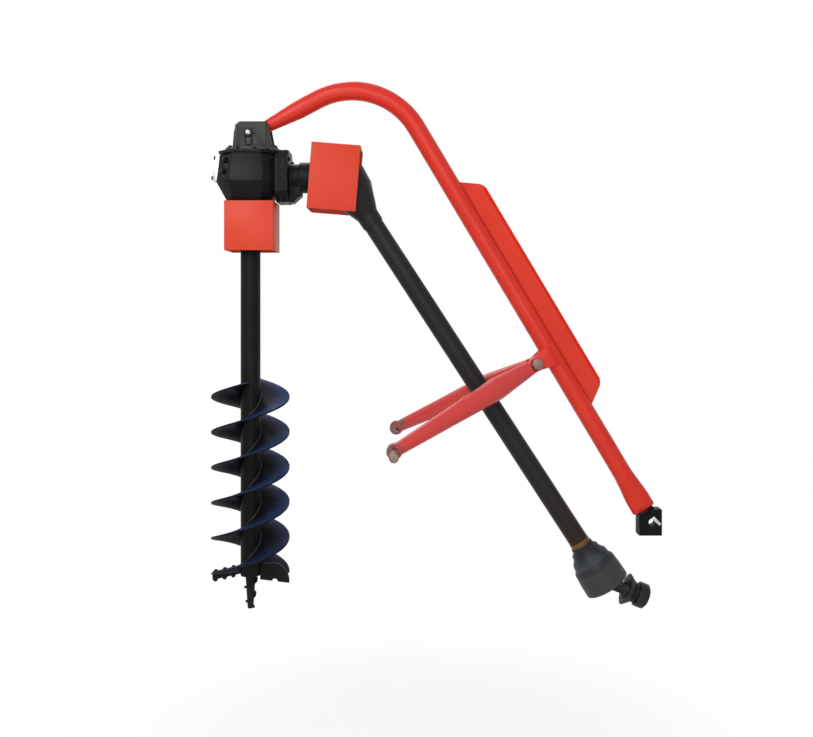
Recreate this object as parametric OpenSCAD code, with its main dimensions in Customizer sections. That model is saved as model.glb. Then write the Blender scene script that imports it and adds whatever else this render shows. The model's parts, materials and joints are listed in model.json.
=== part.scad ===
// Earth auger for a tractor's three-point hitch: boom, lift yoke, bevel gearbox, driveline and auger.
// X runs towards the tractor, Z is up, and the origin is the centre of the top-link bore.

/* [Boom] */
// Outside diameter of the boom pipe
boom_od = 60.3; // [54:0.1:66]
// Wall of the boom pipe
boom_wall = 5; // [3:0.5:8]
// Straight run from the top-link bore to the bend
boom_run = 1476; // [1380:1:1600]
// Lean of the straight run from the horizontal, in degrees
boom_lean = 59.2; // [56:0.1:62]
// Bend radius at the middle of the pipe
bend_r = 240; // [200:1:280]
// Slope of the rear run down to the gearbox pin, in degrees
rear_slope = 28; // [24:0.5:32]
// Rear run from the bend to the gearbox pin
rear_run = 243; // [235:1:290]
// Outside diameter of the drawn-down rear end
rear_od = 40; // [34:0.5:46]
// Length of the cone that draws the rear end down
swage_len = 115; // [80:1:130]
// Where the drawn-down end begins, from the gearbox pin
swage_end = 60; // [45:1:80]
// Width of the flattened front end
flat_w = 77; // [70:1:84]
// Thickness of the flattened front end
flat_t = 36; // [32:1:42]
// Where the pipe begins to flatten, from the top-link bore
flat_from = 200; // [160:1:240]
// Where the pipe is fully flat, from the top-link bore
flat_full = 90; // [75:1:110]
// Front end of the pipe, from the top-link bore
pipe_end = 44; // [42:1:50]
// Thickness of the stiffener fin
fin_t = 10; // [6:1:14]
// Outer edge of the fin from the pipe's axis
fin_reach = 93; // [70:1:110]
// Front end of the fin, from the top-link bore
fin_from = 422; // [380:1:460]
// Rear end of the fin, from the top-link bore
fin_to = 1252; // [1150:1:1300]
// Length of the fin's slanted ends
fin_slant = 45; // [30:1:60]

/* [Hitch block] */
// Bore for the top-link pin
top_link_d = 25.7; // [25.5:0.1:26.5]
// Front face of the block, from the top-link bore
block_front = 30; // [26:1:40]
// Rear face of the block, from the top-link bore
block_back = 44; // [40:1:48]
// Height of the block
block_h = 84; // [80:1:92]
// Width of the block between the tractor's ears
block_w = 50; // [46:1:54]
// Thickness of the flat tongue in the pipe's front end
tongue_t = 22; // [18:1:26]
// Width of the tongue
tongue_w = 56; // [50:1:60]
// Front end of the tongue, from the top-link bore
tongue_from = 17; // [15:1:19]
// Rear end of the tongue, from the top-link bore
tongue_to = 140; // [120:1:160]
// Diameter of the bolts that hold the tongue
hitch_bolt_d = 10; // [8:1:12]

/* [Lift yoke] */
// Place of the yoke pin along the boom, from the top-link bore
yoke_place = 625; // [560:1:700]
// Distance of the yoke pin from the boom's axis
yoke_offset = 58; // [56:1:66]
// Length of the arms in the boom's plane
yoke_len = 513; // [470:1:560]
// Slope of the arms below the horizontal, in degrees
yoke_slope = 28; // [22:0.5:32]
// Middle of each arm's hitch end, from the boom's plane
yoke_spread = 290; // [270:1:320]
// Middle of each arm at the pivot, from the boom's plane
yoke_root = 30; // [28:1:34]
// Largest diameter of the arms
arm_d = 72; // [60:1:74]
// Diameter of the arms at the hitch end
arm_end_d = 38; // [32:1:42]
// Diameter of the arms at the pivot
arm_root_d = 40; // [34:1:44]
// Share of the arm's length that lies outside its thickest place
arm_swell = 0.7; // [0.5:0.02:0.76]
// Diameter of the yoke pin
yoke_pin_d = 20; // [16:1:22]
// Outside diameter of the pivot bush
yoke_bush_d = 46; // [42:1:48]
// Half width of the lugs at the pipe
lug_half = 36; // [30:1:50]
// Thickness of each lug
lug_t = 10; // [8:1:14]
// Diameter of the lower-link pins
link_pin_d = 28.4; // [22:0.1:29]
// Free length of the lower-link pins
link_pin_l = 82; // [70:1:100]
// Diameter of the pins' shanks in the eyes
link_shank_d = 24; // [20:0.5:25]
// Drop of the lower-link pins below the arms
link_pin_drop = 6; // [3:1:8]
// Diameter of the eye that carries each pin
eye_d = 46; // [44:1:52]
// Width of the eye
eye_w = 36; // [32:1:40]

/* [Gearbox] */
// Gearbox pin above the input axis
pin_rise = 137.8; // [134:0.1:146]
// Diameter of the gearbox pin
boom_pin_d = 24; // [20:1:26]
// Outside diameter of the boom's rear bush
rear_bush_d = 50; // [46:1:54]
// Length of the boom's rear bush
rear_bush_l = 64; // [60:1:68]
// Thickness of the clevis ears
ear_t = 14; // [12:1:18]
// Half width of the case at its widest
case_half = 100; // [98:1:110]
// Half width of the case at the bottom
case_foot = 69; // [67:1:76]
// Narrowing of the case's half width up to the lid
case_draft = 11; // [6:0.5:12]
// Corner chamfer of the case
case_chamfer = 45; // [36:1:52]
// Wall of the case
case_wall = 8; // [7:0.5:9]
// Top of the case above the input axis
case_top = 70; // [69:1:76]
// Bottom of the case below the input axis
case_depth = 80; // [76:1:86]
// Depth of the widest line below the input axis
case_belt = 20; // [12:1:24]
// Thickness of the lid
lid_t = 10; // [8:1:12]
// Overhang of the lid beyond the case
lid_edge = 5; // [3:0.5:7]
// Thickness of the clevis base
clevis_base_t = 12; // [10:1:14]
// Rise of the clevis above the gearbox pin
clevis_rise = 36; // [32:1:40]
// Rear edge of the clevis ears, from the gearbox pin
clevis_back = 50; // [46:1:56]
// Front edge of the clevis ears at the base, from the gearbox pin
clevis_front = 76; // [68:1:78]
// Slope of the ears' front edge
clevis_rake = 16; // [10:1:24]
// Edge of the clevis base beyond the ears
clevis_edge = 16; // [15:0.5:17]
// Diameter of the housing bolts
case_bolt_d = 7; // [6:1:7.5]
// Thickness of the bright side cover
cover_t = 14; // [8:1:16]
// Half width of the square input flange
flange_half = 83; // [80:1:88]
// Corner chamfer of the input flange
flange_chamfer = 33; // [28:1:38]
// Thickness of the input flange
flange_t = 22; // [18:1:24]
// Diameter of the neck next to the flange
neck_d = 88; // [84:1:94]
// Diameter of the neck at its outer end
neck_end_d = 99; // [96:1:103]
// Length of the narrow part of the neck
neck_l = 31; // [26:1:36]
// Length of the wide part of the neck
neck_head_l = 55; // [50:1:60]
// Length of the input yoke's hub
input_hub_l = 5; // [4:1:12]

/* [Gears and shafts] */
// Room from the crown gear's pitch circle to the outer face of the gearbox case
gear_room = 19; // [15:0.5:22]
// Teeth of the crown gear
crown_teeth = 36; // [33:3:36]
// Teeth of the pinion
pinion_teeth = 12; // [11:1:12]
// Back of the crown gear above the pinion's pitch line
crown_web = 14; // [10:1:16]
// Face width of the gears
gear_face = 26; // [20:1:28]
// Diameter of the output shaft below the gearbox
output_d = 50.8; // [48:0.1:52]
// Diameter of the output shaft in its upper bearing
output_top_d = 40; // [36:1:42]
// Diameter of the input shaft in its inner bearing
input_inner_d = 40; // [36:1:42]
// Diameter of the splined input end
input_end_d = 34.9; // [32:0.1:35.4]
// Diameter of the input shaft in the pinion
pinion_bore_d = 22; // [18:1:24]
// Width of the bearings
bearing_w = 18; // [16:1:19]

/* [Auger] */
// Outside diameter of the auger
auger_d = 250; // [200:1:300]
// Outside diameter of the auger tube
auger_tube_d = 63.5; // [60:0.1:68]
// Pitch of each flight
flight_pitch = 226; // [200:1:250]
// Thickness of the flights along the axis
flight_t = 6; // [4:0.5:9]
// Height of the flighting
flight_h = 619; // [500:1:700]
// Foot of the flights below the input axis
flight_foot = 1272; // [1180:1:1300]
// Foot of the tube below the flights' foot
tube_below = 6; // [4:1:12]
// Length of the pilot point
pilot_l = 106; // [90:1:120]
// Diameter of the pilot's thread at the top
pilot_d = 50; // [44:1:56]
// Diameter of the pilot's core at the top
pilot_core_d = 33; // [26:1:38]
// Pitch of the pilot's thread
pilot_pitch = 46; // [40:1:52]
// Outside diameter of the collar that takes the shaft
collar_d = 80; // [76:1:88]
// Top of the auger tube below the input axis
collar_top = 112; // [108:1:120]
// Length of the collar
collar_l = 88; // [84:1:94]
// Diameter of the coupling bolts
coupling_bolt_d = 12; // [10:1:14]
// Thickness of the cutters
cutter_t = 12; // [8:1:14]
// Height of the toothed cutter bar
cutter_h = 26; // [22:1:30]

/* [Guards] */
// Sheet thickness of the guards
sheet_t = 3; // [2:0.5:4]
// Width of the output guard
output_guard_w = 155; // [152:1:164]
// Height of the output guard
output_guard_h = 157; // [150:1:170]
// Shift of the output guard towards the tractor
output_guard_shift = 6; // [0:1:7]
// Width of the input guard along the driveline
input_guard_w = 155; // [150:1:162]
// Height of the input guard
input_guard_h = 209; // [200:1:218]
// Depth of the input guard
input_guard_d = 160; // [158:1:168]
// Tilt of the input guard, in degrees
input_guard_tilt = 4.5; // [0:0.5:6]
// Middle of the input guard behind the first universal joint
input_guard_back = 25; // [20:1:28]

/* [Driveline] */
// Slope of the driveline below the horizontal, in degrees
drive_slope = 57; // [54:0.5:58]
// Length from one universal joint to the other, pushed together
drive_len = 1545; // [1450:1:1650]
// Outside diameter of the outer shield tube
shield_d = 64; // [62:0.5:68]
// Wall of the shield tubes
shield_wall = 2.5; // [2:0.25:3]
// Radius of the shield bells at the mouth
bell_r = 74; // [72:0.5:75]
// Length of a bell from the joint's centre to its neck
bell_l = 150; // [140:1:160]
// Wall of the bells
bell_wall = 3; // [2:0.5:4]
// Width over the square drive tube
drive_tube_w = 36; // [33:0.5:37]
// Wall of the square drive tube
drive_tube_wall = 3.3; // [2.5:0.1:4]
// Overlap of the two halves, pushed together
drive_overlap = 635; // [500:1:700]
// Bend of the tractor yoke towards the horizontal, in degrees
yoke_bend = 35; // [0:1:38]
// Bore of the tractor yoke
pto_bore_d = 35; // [34.8:0.1:35.4]
// End of the tractor yoke, from its joint's centre
tractor_yoke_l = 146; // [144:1:165]
// Length of the locking collar
lock_l = 28; // [24:1:30]
// Locking collar from the end of the tractor yoke
lock_back = 6; // [3:1:8]
// Wall of the locking collar
lock_wall = 8; // [6:0.5:10]
// Wall of the tractor yoke's hub beyond the driveline hubs
hub_step = 7; // [6:0.5:8]
// Radius of the tractor yoke's flared shoulder
flare_r = 52; // [44:1:54]
// Length of the flared shoulder
flare_l = 26; // [20:1:26]

/* [Universal joints] */
// Half distance over the yoke ears
ear_out = 36; // [34:0.5:38]
// Half distance between the yoke ears
ear_in = 24; // [23:0.5:26]
// Half width of the yoke ears
ear_half = 14; // [12:0.5:15]
// Distance from the joint's centre to the yoke's bridge
yoke_throat = 58; // [54:1:62]
// Thickness of the yoke's bridge
bridge_t = 16; // [12:1:18]
// Diameter of the yoke hubs on the driveline
hub_d = 50; // [46:1:52]
// Diameter of the lower cross's trunnions
trunnion_d = 20; // [16:1:22]

/* [Clearances] */
// Radial clearance of seats and running fits
fit = 0.05; // [0.02:0.01:0.08]
// Clearance between neighbours that move
gap = 0.5; // [0.3:0.1:0.8]

/* [Hidden] */
$fn = 64;

// Overshoot of cuts
over = 1;

// Boom
pipe_r = boom_od / 2;
run_angle = 180 - boom_lean;
bend_turn = boom_lean + rear_slope;
bend_start = along(boom_run);
bend_c = bend_start + bend_r * [-sin(boom_lean), -cos(boom_lean)];
bend_end = bend_c + bend_r * [cos(90 - boom_lean + bend_turn), sin(90 - boom_lean + bend_turn)];
boom_pin_at = bend_end - rear_run * [cos(rear_slope), sin(rear_slope)];
yoke_pin_at = along(yoke_place, yoke_offset);
block_bolt_s = (tongue_from + pipe_end) / 2;
block_bolt_n = tongue_w / 4 + hitch_bolt_d / 4;

// Gears
crown_rp = case_half - gear_room;
gear_module = 2 * crown_rp / crown_teeth;
pinion_rp = gear_module * pinion_teeth / 2;
crown_angle = atan(crown_teeth / pinion_teeth);
cone_dist = norm([crown_rp, pinion_rp]);
pressure_angle = 20;
crown_add = 0.6 * gear_module;
pinion_add = 0.9 * gear_module;
root_gap = 0.3 * gear_module;
tooth_w = 0.44 * PI * gear_module;
crown_back = pinion_rp + crown_web;
pinion_back = crown_rp + 8;
pinion_shoulder = pinion_back + 1;

// Gearbox: its own origin is where the auger's axis meets the input axis
box_at = boom_pin_at - [0, pin_rise];
// The inner bearing seats against the pinion's shoulder, and the flange's face follows it
inner_bearing_x = pinion_shoulder;
input_face = inner_bearing_x + bearing_w - 2;
neck_end = input_face + flange_t + neck_l + neck_head_l;
seal_gap = 5;
joint_out = neck_end + seal_gap + input_hub_l + bridge_t + yoke_throat;
lid_top = case_top + lid_t;
clevis_floor = lid_top + clevis_base_t;
ear_gap = rear_bush_l / 2 + gap;
belt_z = -case_belt;
cover_tilt = atan(case_draft / (case_top - belt_z));
corner_tilt = atan(sqrt(2) * case_draft / (case_top - belt_z));
cover_h = case_top - belt_z - 8;
lid_half = case_half - case_draft + lid_edge;
cover_w = 2 * (case_half - case_chamfer) - 16;
bolt_r = case_bolt_d / 2;
bolt_head = 1.9;
bolt_grip = 12;
boss_back = 12;
clamp_wall = 5;
clamp_w = 16;
clamp_r = neck_end_d / 2 + clamp_wall;

// Shafts and bearings
output_r = output_d / 2;
output_top_r = output_top_d / 2;
gear_seat_r = output_r + 1;
top_bearing_z = crown_back + 6;
top_seat_r = output_top_r + 16;
low_bearing_z = -case_depth + 12;
low_seat_r = output_r + 19;
input_seat_r = input_inner_d / 2 + 16;
input_end_r = input_end_d / 2;
outer_seat_r = input_end_r + 13.5;
outer_bearing_x = input_face + flange_t + neck_l - bearing_w + 8;
spigot_r = input_seat_r + 9;
seal_w = 9;

// Auger
auger_r = auger_d / 2;
tube_r = auger_tube_d / 2;
flight_turn = 360 * flight_h / flight_pitch;
flight_wedge = 360 * flight_t / flight_pitch;
tube_foot = -flight_foot - tube_below;

// Driveline
drive_at = box_at + [joint_out, 0];
shield_r = shield_d / 2;
inner_shield_r = shield_r - shield_wall - 0.3;
hub_r = hub_d / 2;
drive_bar_w = drive_tube_w - 2 * drive_tube_wall - 0.4;
shield_end = drive_len - bell_l - 5;
ring_w = 28;
bell_neck = drive_len - bell_l + 12;
bell_mouth = drive_len + 15;

NOT_SMOOTH = 6;

// A point at distance s along the straight run from the bore, and n below the pipe's axis
function along(s, n = 0) =
    s * [-cos(boom_lean), sin(boom_lean)] - n * [sin(boom_lean), cos(boom_lean)];

// Draws in the boom's plane, with x and y as X and Z
module upright() rotate([90, 0, 0]) children();

// A plate in the boom's plane, centred on it
module plate(t) upright() linear_extrude(t, center = true) children();

// The frame of the straight run: x towards the bend, y below the pipe
module on_run(s = 0, n = 0) upright() translate(along(s, n)) rotate(run_angle) children();

module at_gearbox() translate([box_at[0], 0, box_at[1]]) children();

// The driveline's frame: z along the driveline from the first joint's centre
module on_drive(s = 0)
    translate([drive_at[0], 0, drive_at[1]]) rotate([0, 90 + drive_slope, 0]) translate([0, 0, s]) children();

// A round bar across the boom's plane
module cross_bar(r, l) rotate([90, 0, 0]) cylinder(r = r, h = l, center = true);

// A round bar along X from x0 to x1
module bar_x(r, x0, x1) translate([x0, 0, 0]) rotate([0, 90, 0]) cylinder(r = r, h = x1 - x0);

// A ring about Z from z0 to z1
module ring_z(r_in, r_out, z0, z1)
    rotate_extrude() translate([r_in, z0]) square([r_out - r_in, z1 - z0]);

// A hexagon bolt: head above z = 0, shank below
module bolt(r, l, head = 0.8) {
    cylinder(r = bolt_head * r, h = 2 * head * r, $fn = NOT_SMOOTH);
    translate([0, 0, -l]) cylinder(r = r, h = l);
}

// A bolt with its nut, through a stack of the given thickness that ends at z = 0
module bolt_and_nut(r, stack) {
    bolt(r, stack + 3 * r);
    translate([0, 0, -stack - 1.7 * r]) difference() {
        cylinder(r = 1.9 * r, h = 1.7 * r, $fn = NOT_SMOOTH);
        translate([0, 0, -over]) cylinder(r = r + fit, h = 1.7 * r + 2 * over);
    }
}

// Boom

// The pipe is drawn as three lengths: the straight run, the bend and the rear run
module boom_tube() color("orangered") on_run(flat_from) rotate([0, 90, 0])
    ring_z(pipe_r - boom_wall, pipe_r, 0, boom_run - flat_from);

module boom_bend() color("orangered") upright() translate(bend_c) rotate(90 - boom_lean)
    rotate_extrude(angle = bend_turn) translate([bend_r, 0]) difference() {
        circle(pipe_r);
        circle(pipe_r - boom_wall);
    }

// The rear run, drawn down to the bush on the gearbox pin
module boom_tail() color("orangered") difference() {
    end_r = rear_od / 2;
    bore_r = pipe_r - boom_wall;
    cone_at = rear_run - swage_end - swage_len;
    cone_end = rear_run - swage_end;
    upright() translate(bend_end) rotate(180 + rear_slope) rotate([0, 90, 0]) rotate_extrude() polygon([
        [bore_r, 0], [pipe_r, 0], [pipe_r, cone_at], [end_r, cone_end], [end_r, rear_run],
        [end_r - boom_wall, rear_run], [end_r - boom_wall, cone_end], [bore_r, cone_at]
    ]);
    translate([boom_pin_at[0], 0, boom_pin_at[1]]) cross_bar(rear_bush_d / 2, rear_bush_l);
}

// Cross-section of the flattened end: long way in the boom's plane
module flat_section(w, t) {
    square([t, w - t], center = true);
    for (side = [-1, 1]) translate([0, side * (w - t) / 2]) circle(d = t, $fn = 24);
}

module tongue_bar(clear) {
    l = tongue_to - tongue_from;
    on_run(tongue_from) translate([l / 2, 0, 0])
        cube([l, tongue_w + 2 * clear, tongue_t + 2 * clear], center = true);
}

// Front end of the pipe, pressed flat around the tongue
module boom_nose() color("orangered") difference() {
    on_run() rotate([0, 90, 0]) {
        hull() {
            translate([0, 0, flat_from - 1]) cylinder(r = pipe_r, h = 1, $fn = 40);
            translate([0, 0, flat_full]) linear_extrude(1) flat_section(flat_w, flat_t);
        }
        translate([0, 0, pipe_end])
            linear_extrude(flat_full - pipe_end + 0.5) flat_section(flat_w - 0.4, flat_t - 0.4);
    }
    tongue_bar(fit);
}

module boom_fin() color("orangered") difference() {
    on_run() linear_extrude(fin_t, center = true) polygon([
        [fin_from, -pipe_r / 2], [fin_from, -pipe_r], [fin_from + fin_slant, -fin_reach],
        [fin_to - fin_slant, -fin_reach], [fin_to, -pipe_r], [fin_to, -pipe_r / 2]
    ]);
    on_run() rotate([0, 90, 0]) translate([0, 0, fin_from - over])
        cylinder(r = pipe_r, h = fin_to - fin_from + 2 * over);
}

module boom_rear_bush() color("orangered") translate([boom_pin_at[0], 0, boom_pin_at[1]]) difference() {
    cross_bar(rear_bush_d / 2, rear_bush_l);
    cross_bar(boom_pin_d / 2 + fit, rear_bush_l + 2 * over);
}

module boom_tongue() color("dimgray") difference() {
    tongue_bar(0);
    hitch_bolt_places() cross_bar(hitch_bolt_d / 2 + fit, block_w);
}

module hitch_bolt_places() for (side = [-1, 1]) {
    p = along(block_bolt_s, side * block_bolt_n);
    translate([p[0], 0, p[1]]) children();
}

module hitch_block() color("#202022") difference() {
    plate(block_w) intersection() {
        translate([-block_back, -block_h / 2]) square([block_back + block_front, block_h]);
        translate(along(pipe_end - gap / 2)) rotate(run_angle)
            translate([-2 * block_h, -block_h]) square(2 * block_h);
    }
    tongue_bar(fit);
    cross_bar(top_link_d / 2, block_w + 2 * over);
    hitch_bolt_places() cross_bar(hitch_bolt_d / 2 + fit, block_w + 2 * over);
}

module hitch_bolts() color("silver") hitch_bolt_places()
    translate([0, -block_w / 2, 0]) rotate([90, 0, 0]) bolt_and_nut(hitch_bolt_d / 2, block_w);

// Spring clip that lies across the near face of the block
module hitch_clip() color("silver") {
    clip_d = 6;
    clip_l = 34;
    clip_at = [block_front - 19, block_h / 2 - 36];
    translate([clip_at[0], -block_w / 2 - clip_d / 2, clip_at[1]]) rotate([0, 45, 0]) {
        cube([clip_l, clip_d, clip_d + 4], center = true);
    }
}

module yoke_lugs() color("orangered") difference() {
    lug_r = yoke_bush_d / 2;
    for (side = [-1, 1]) translate([0, side * (lug_space() + lug_t / 2), 0])
        on_run(yoke_place) linear_extrude(lug_t, center = true) {
            translate([0, yoke_offset]) circle(lug_r);
            polygon([
                [-lug_half, 2], [lug_half, 2], [lug_r - 0.5, yoke_offset], [-lug_r + 0.5, yoke_offset]
            ]);
        }
    on_run() rotate([0, 90, 0]) translate([0, 0, yoke_place - 2 * lug_half])
        cylinder(r = pipe_r, h = 4 * lug_half);
    yoke_pin_place() cross_bar(yoke_pin_d / 2 + fit, 4 * lug_space());
}

function lug_space() = yoke_root - 7 + gap;

module yoke_pin_place() translate([yoke_pin_at[0], 0, yoke_pin_at[1]]) children();

module yoke_pivot_pin() color("silver") yoke_pin_place()
    translate([0, -lug_space() - lug_t, 0]) rotate([90, 0, 0])
        bolt_and_nut(yoke_pin_d / 2, 2 * (lug_space() + lug_t));

// Lift yoke

module yoke_head() color("tomato") yoke_pin_place() difference() {
    cross_bar(yoke_bush_d / 2, 2 * (lug_space() - gap));
    cross_bar(yoke_pin_d / 2 + fit, 4 * lug_space());
}

// The frame of an arm: z from its root at the pivot to the middle of its eye
module on_arm(side) {
    reach = [-yoke_len * cos(yoke_slope), side * (yoke_spread - yoke_root), -yoke_len * sin(yoke_slope)];
    yoke_pin_place() translate([0, side * yoke_root, 0])
        rotate([0, acos(reach[2] / norm(reach)), atan2(reach[1], reach[0])]) children();
}

arm_l = norm([yoke_len, yoke_spread - yoke_root]);
eye_at = yoke_pin_at - yoke_len * [cos(yoke_slope), sin(yoke_slope)];

module at_eye(side) translate([eye_at[0], side * yoke_spread, eye_at[1]]) children();

module yoke_arm(side) color("tomato") difference() {
    union() {
        on_arm(side) {
            swell_z = arm_l * (1 - arm_swell);
            cylinder(d1 = arm_root_d, d2 = arm_d, h = swell_z);
            translate([0, 0, swell_z]) cylinder(d1 = arm_d, d2 = arm_end_d, h = arm_l - swell_z);
        }
        at_eye(side) cross_bar(eye_d / 2, eye_w);
    }
    yoke_pin_place() cross_bar(yoke_bush_d / 2 + fit, 4 * arm_d);
    translate([0, -side * 3 * arm_d, 0]) yoke_pin_place()
        cube([3 * arm_d, 6 * arm_d, 3 * arm_d], center = true);
    at_eye(side) translate([0, 0, -link_pin_drop]) cross_bar(link_shank_d / 2 + fit, eye_w + 2 * over);
}

module yoke_arm_left() yoke_arm(1);
module yoke_arm_right() yoke_arm(-1);

// A shank in the eye, with a shoulder against its outer face
module lower_link_pin(side) color("rosybrown") at_eye(side) translate([0, 0, -link_pin_drop])
    translate([0, side * eye_w / 2, 0]) rotate([-side * 90, 0, 0]) {
        translate([0, 0, -eye_w]) cylinder(d = link_shank_d, h = eye_w + over);
        cylinder(d = link_pin_d, h = link_pin_l);
    }

module lower_link_pin_left() lower_link_pin(1);
module lower_link_pin_right() lower_link_pin(-1);

// Gearbox housing

// A square with chamfered corners
function chamfered(half, c) = [
    [half, half - c], [half - c, half], [-half + c, half], [-half, half - c],
    [-half, -half + c], [-half + c, -half], [half - c, -half], [half, -half + c]
];

// A solid between two outlines of eight corners
module loft(low, z0, high, z1) polyhedron(
    points = concat([for (p = low) [p[0], p[1], z0]], [for (p = high) [p[0], p[1], z1]]),
    faces = concat(
        [[for (i = [0:7]) i], [for (i = [15:-1:8]) i]],
        [for (i = [0:7]) [i, i + 8, (i + 1) % 8 + 8, (i + 1) % 8]]
    )
);

// The case's outer form, or its cavity when drawn in by the wall
module case_form(inset) {
    foot_c = case_chamfer * case_foot / case_half;
    loft(chamfered(case_half - inset, case_chamfer - 0.4 * inset), belt_z,
        chamfered(case_half - case_draft - inset, case_chamfer - 0.4 * inset),
        case_top + (inset > 0 ? over : 0));
    loft(chamfered(case_foot - inset, foot_c - 0.4 * inset), -case_depth + inset,
        chamfered(case_half - inset, case_chamfer - 0.4 * inset), belt_z);
}

module lid_bolt_places() for (x = [-1, 1]) for (y = [-1, 1]) {
    wall_mid = case_half - case_draft - case_wall / 2;
    corner_mid = wall_mid - case_chamfer / 2 + 1;
    translate([x * corner_mid, y * corner_mid, lid_top]) children();
    translate([x * 26, y * wall_mid, lid_top]) children();
}

module cover_bolt_places() on_cover() for (y = [-1, 1]) for (z = [-1, 1])
    translate([-cover_t, y * (cover_w / 2 - 9), cover_h / 2 + z * (cover_h / 2 - 9)])
        rotate([0, -90, 0]) children();

module on_cover()
    translate([-case_half, 0, belt_z]) rotate([0, cover_tilt, 0]) translate([0, 0, 4]) children();

// The square flange as a plate from x0 to x1
module flange_plate(x0, x1) along_x(x0)
    linear_extrude(x1 - x0) polygon(chamfered(flange_half, flange_chamfer));

module flange_bolt_places() for (y = [-1, 1]) for (z = [-1, 1]) {
    out = flange_half - flange_chamfer + 3;
    translate([input_face + flange_t, y * out, z * out]) rotate([0, 90, 0]) children();
}

module gearbox_case() color("#1b1b1d") at_gearbox() difference() {
    union() {
        difference() {
            case_form(0);
            case_form(case_wall);
        }
        intersection() {
            case_form(0.2);
            translate([0, 0, -case_depth + 1]) cylinder(r = low_seat_r + 9, h = bearing_w + 14);
        }
        difference() {
            flange_plate(case_half - boss_back, input_face);
            translate([0, -flange_half, case_top]) cube([lid_half + gap, 2 * flange_half, flange_half]);
        }
    }
    translate([0, 0, low_bearing_z]) cylinder(r = low_seat_r, h = bearing_w + 10);
    translate([0, 0, -case_depth - over]) cylinder(r = output_r + seal_w, h = 2 * case_depth);
    bar_x(spigot_r, case_half - case_wall - 12, input_face + over);
    lid_bolt_places() translate([0, 0, -lid_t - bolt_grip])
        cylinder(r = bolt_r + fit, h = bolt_grip + over);
    cover_bolt_places() translate([0, 0, -cover_t - 6]) cylinder(r = bolt_r + fit, h = cover_t + 6);
    flange_bolt_places() translate([0, 0, -flange_t - bolt_grip])
        cylinder(r = bolt_r + fit, h = bolt_grip + over);
    plug_places() translate([0, 0, -6]) cylinder(r = 8 + fit, h = 12);
    guard_bolt_places() translate([0, 0, -sheet_t - 6]) cylinder(r = bolt_r + fit, h = 6 + over);
}

module gearbox_lid() color("#1b1b1d") at_gearbox() difference() {
    union() {
        translate([0, 0, case_top]) linear_extrude(lid_t)
            polygon(chamfered(lid_half, case_chamfer));
        translate([0, 0, top_bearing_z + 2]) cylinder(r = top_seat_r + 9, h = case_top - top_bearing_z);
    }
    translate([0, 0, top_bearing_z - over]) cylinder(r = top_seat_r, h = bearing_w + 2 * over);
    lid_bolt_places() translate([0, 0, -2 * lid_t]) cylinder(r = bolt_r + fit, h = 3 * lid_t);
    clevis_bolt_places() translate([0, 0, -clevis_base_t - lid_t]) cylinder(r = bolt_r + fit, h = 3 * lid_t);
}

clevis_half = ear_gap + ear_t;
clevis_bolt_out = clevis_edge / 2 + 0.5;

module clevis_bolt_places()
    for (x = [-clevis_back - clevis_bolt_out, clevis_front + clevis_bolt_out]) for (y = [-1, 1])
        translate([x, y * (clevis_half - 6), clevis_floor]) children();

// Hanger on the lid: two ears, a closed back and ribs on the ears' outer faces
module boom_clevis() color("#222224") at_gearbox() difference() {
    top = pin_rise + clevis_rise;
    union() {
        translate([-clevis_back - clevis_edge, -clevis_half - 6, lid_top])
            cube([clevis_back + clevis_front + 2 * clevis_edge, 2 * clevis_half + 12, clevis_base_t]);
        for (side = [-1, 1]) translate([0, side * (ear_gap + ear_t / 2), 0]) {
            plate(ear_t) polygon([
                [-clevis_back, clevis_floor - over], [-clevis_back + 4, top - 34],
                [-clevis_back + 10, top - 13], [-clevis_back + 15, top - 5], [-clevis_back + 23, top],
                [clevis_front - clevis_rake, top], [clevis_front, clevis_floor - over]
            ]);
            for (x = [-clevis_back + 13, clevis_front - clevis_rake - 8])
                translate([x, side * (ear_t / 2 + 1), (clevis_floor + top) / 2 - 4])
                    cube([9, 5, top - clevis_floor - 12], center = true);
        }
        translate([-clevis_back + 1, -ear_gap - over, clevis_floor - over])
            cube([12, 2 * (ear_gap + over), pin_rise - clevis_floor - 16]);
    }
    translate([0, 0, pin_rise]) cross_bar(boom_pin_d / 2 + fit, 4 * clevis_half);
    clevis_bolt_places() translate([0, 0, -clevis_base_t - over])
        cylinder(r = bolt_r + fit, h = 3 * clevis_base_t);
    lid_bolt_places() translate([0, 0, -over]) cylinder(r = bolt_head * bolt_r + gap, h = 2 * clevis_base_t);
}

// A plain pin with a keeper ring outside each ear
module boom_pin() color("silver") at_gearbox() translate([0, 0, pin_rise]) {
    ring_t = 3;
    end = 4;
    cross_bar(boom_pin_d / 2, 2 * (clevis_half + ring_t + end));
    for (side = [-1, 1]) translate([0, side * (clevis_half + ring_t / 2), 0])
        cross_bar(boom_pin_d / 2 + 3, ring_t);
}

module housing_bolts() color("silver") at_gearbox() {
    lid_bolt_places() bolt(bolt_r, lid_t + bolt_grip - 1);
    clevis_bolt_places() bolt(bolt_r, clevis_base_t + lid_t - 1);
    cover_bolt_places() bolt(bolt_r, cover_t + 5);
    flange_bolt_places() bolt(bolt_r, flange_t + bolt_grip - 1);
}

module side_cover() color("lightgray") at_gearbox() difference() {
    on_cover() translate([-cover_t, -cover_w / 2, 0]) cube([cover_t, cover_w, cover_h]);
    cover_bolt_places() translate([0, 0, -cover_t - over]) cylinder(r = bolt_r + fit, h = cover_t + 2 * over);
}

// Filler and level plugs on the chamfered near corner
module plug_places() for (z = [0.35, 0.75])
    translate([-(case_half - case_chamfer / 2), -(case_half - case_chamfer / 2), 0])
        rotate([0, 0, 225])
            translate([-sqrt(2) * case_draft * z, 0, belt_z + (case_top - belt_z) * z])
                rotate([0, 90 - corner_tilt, 0]) children();

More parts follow.
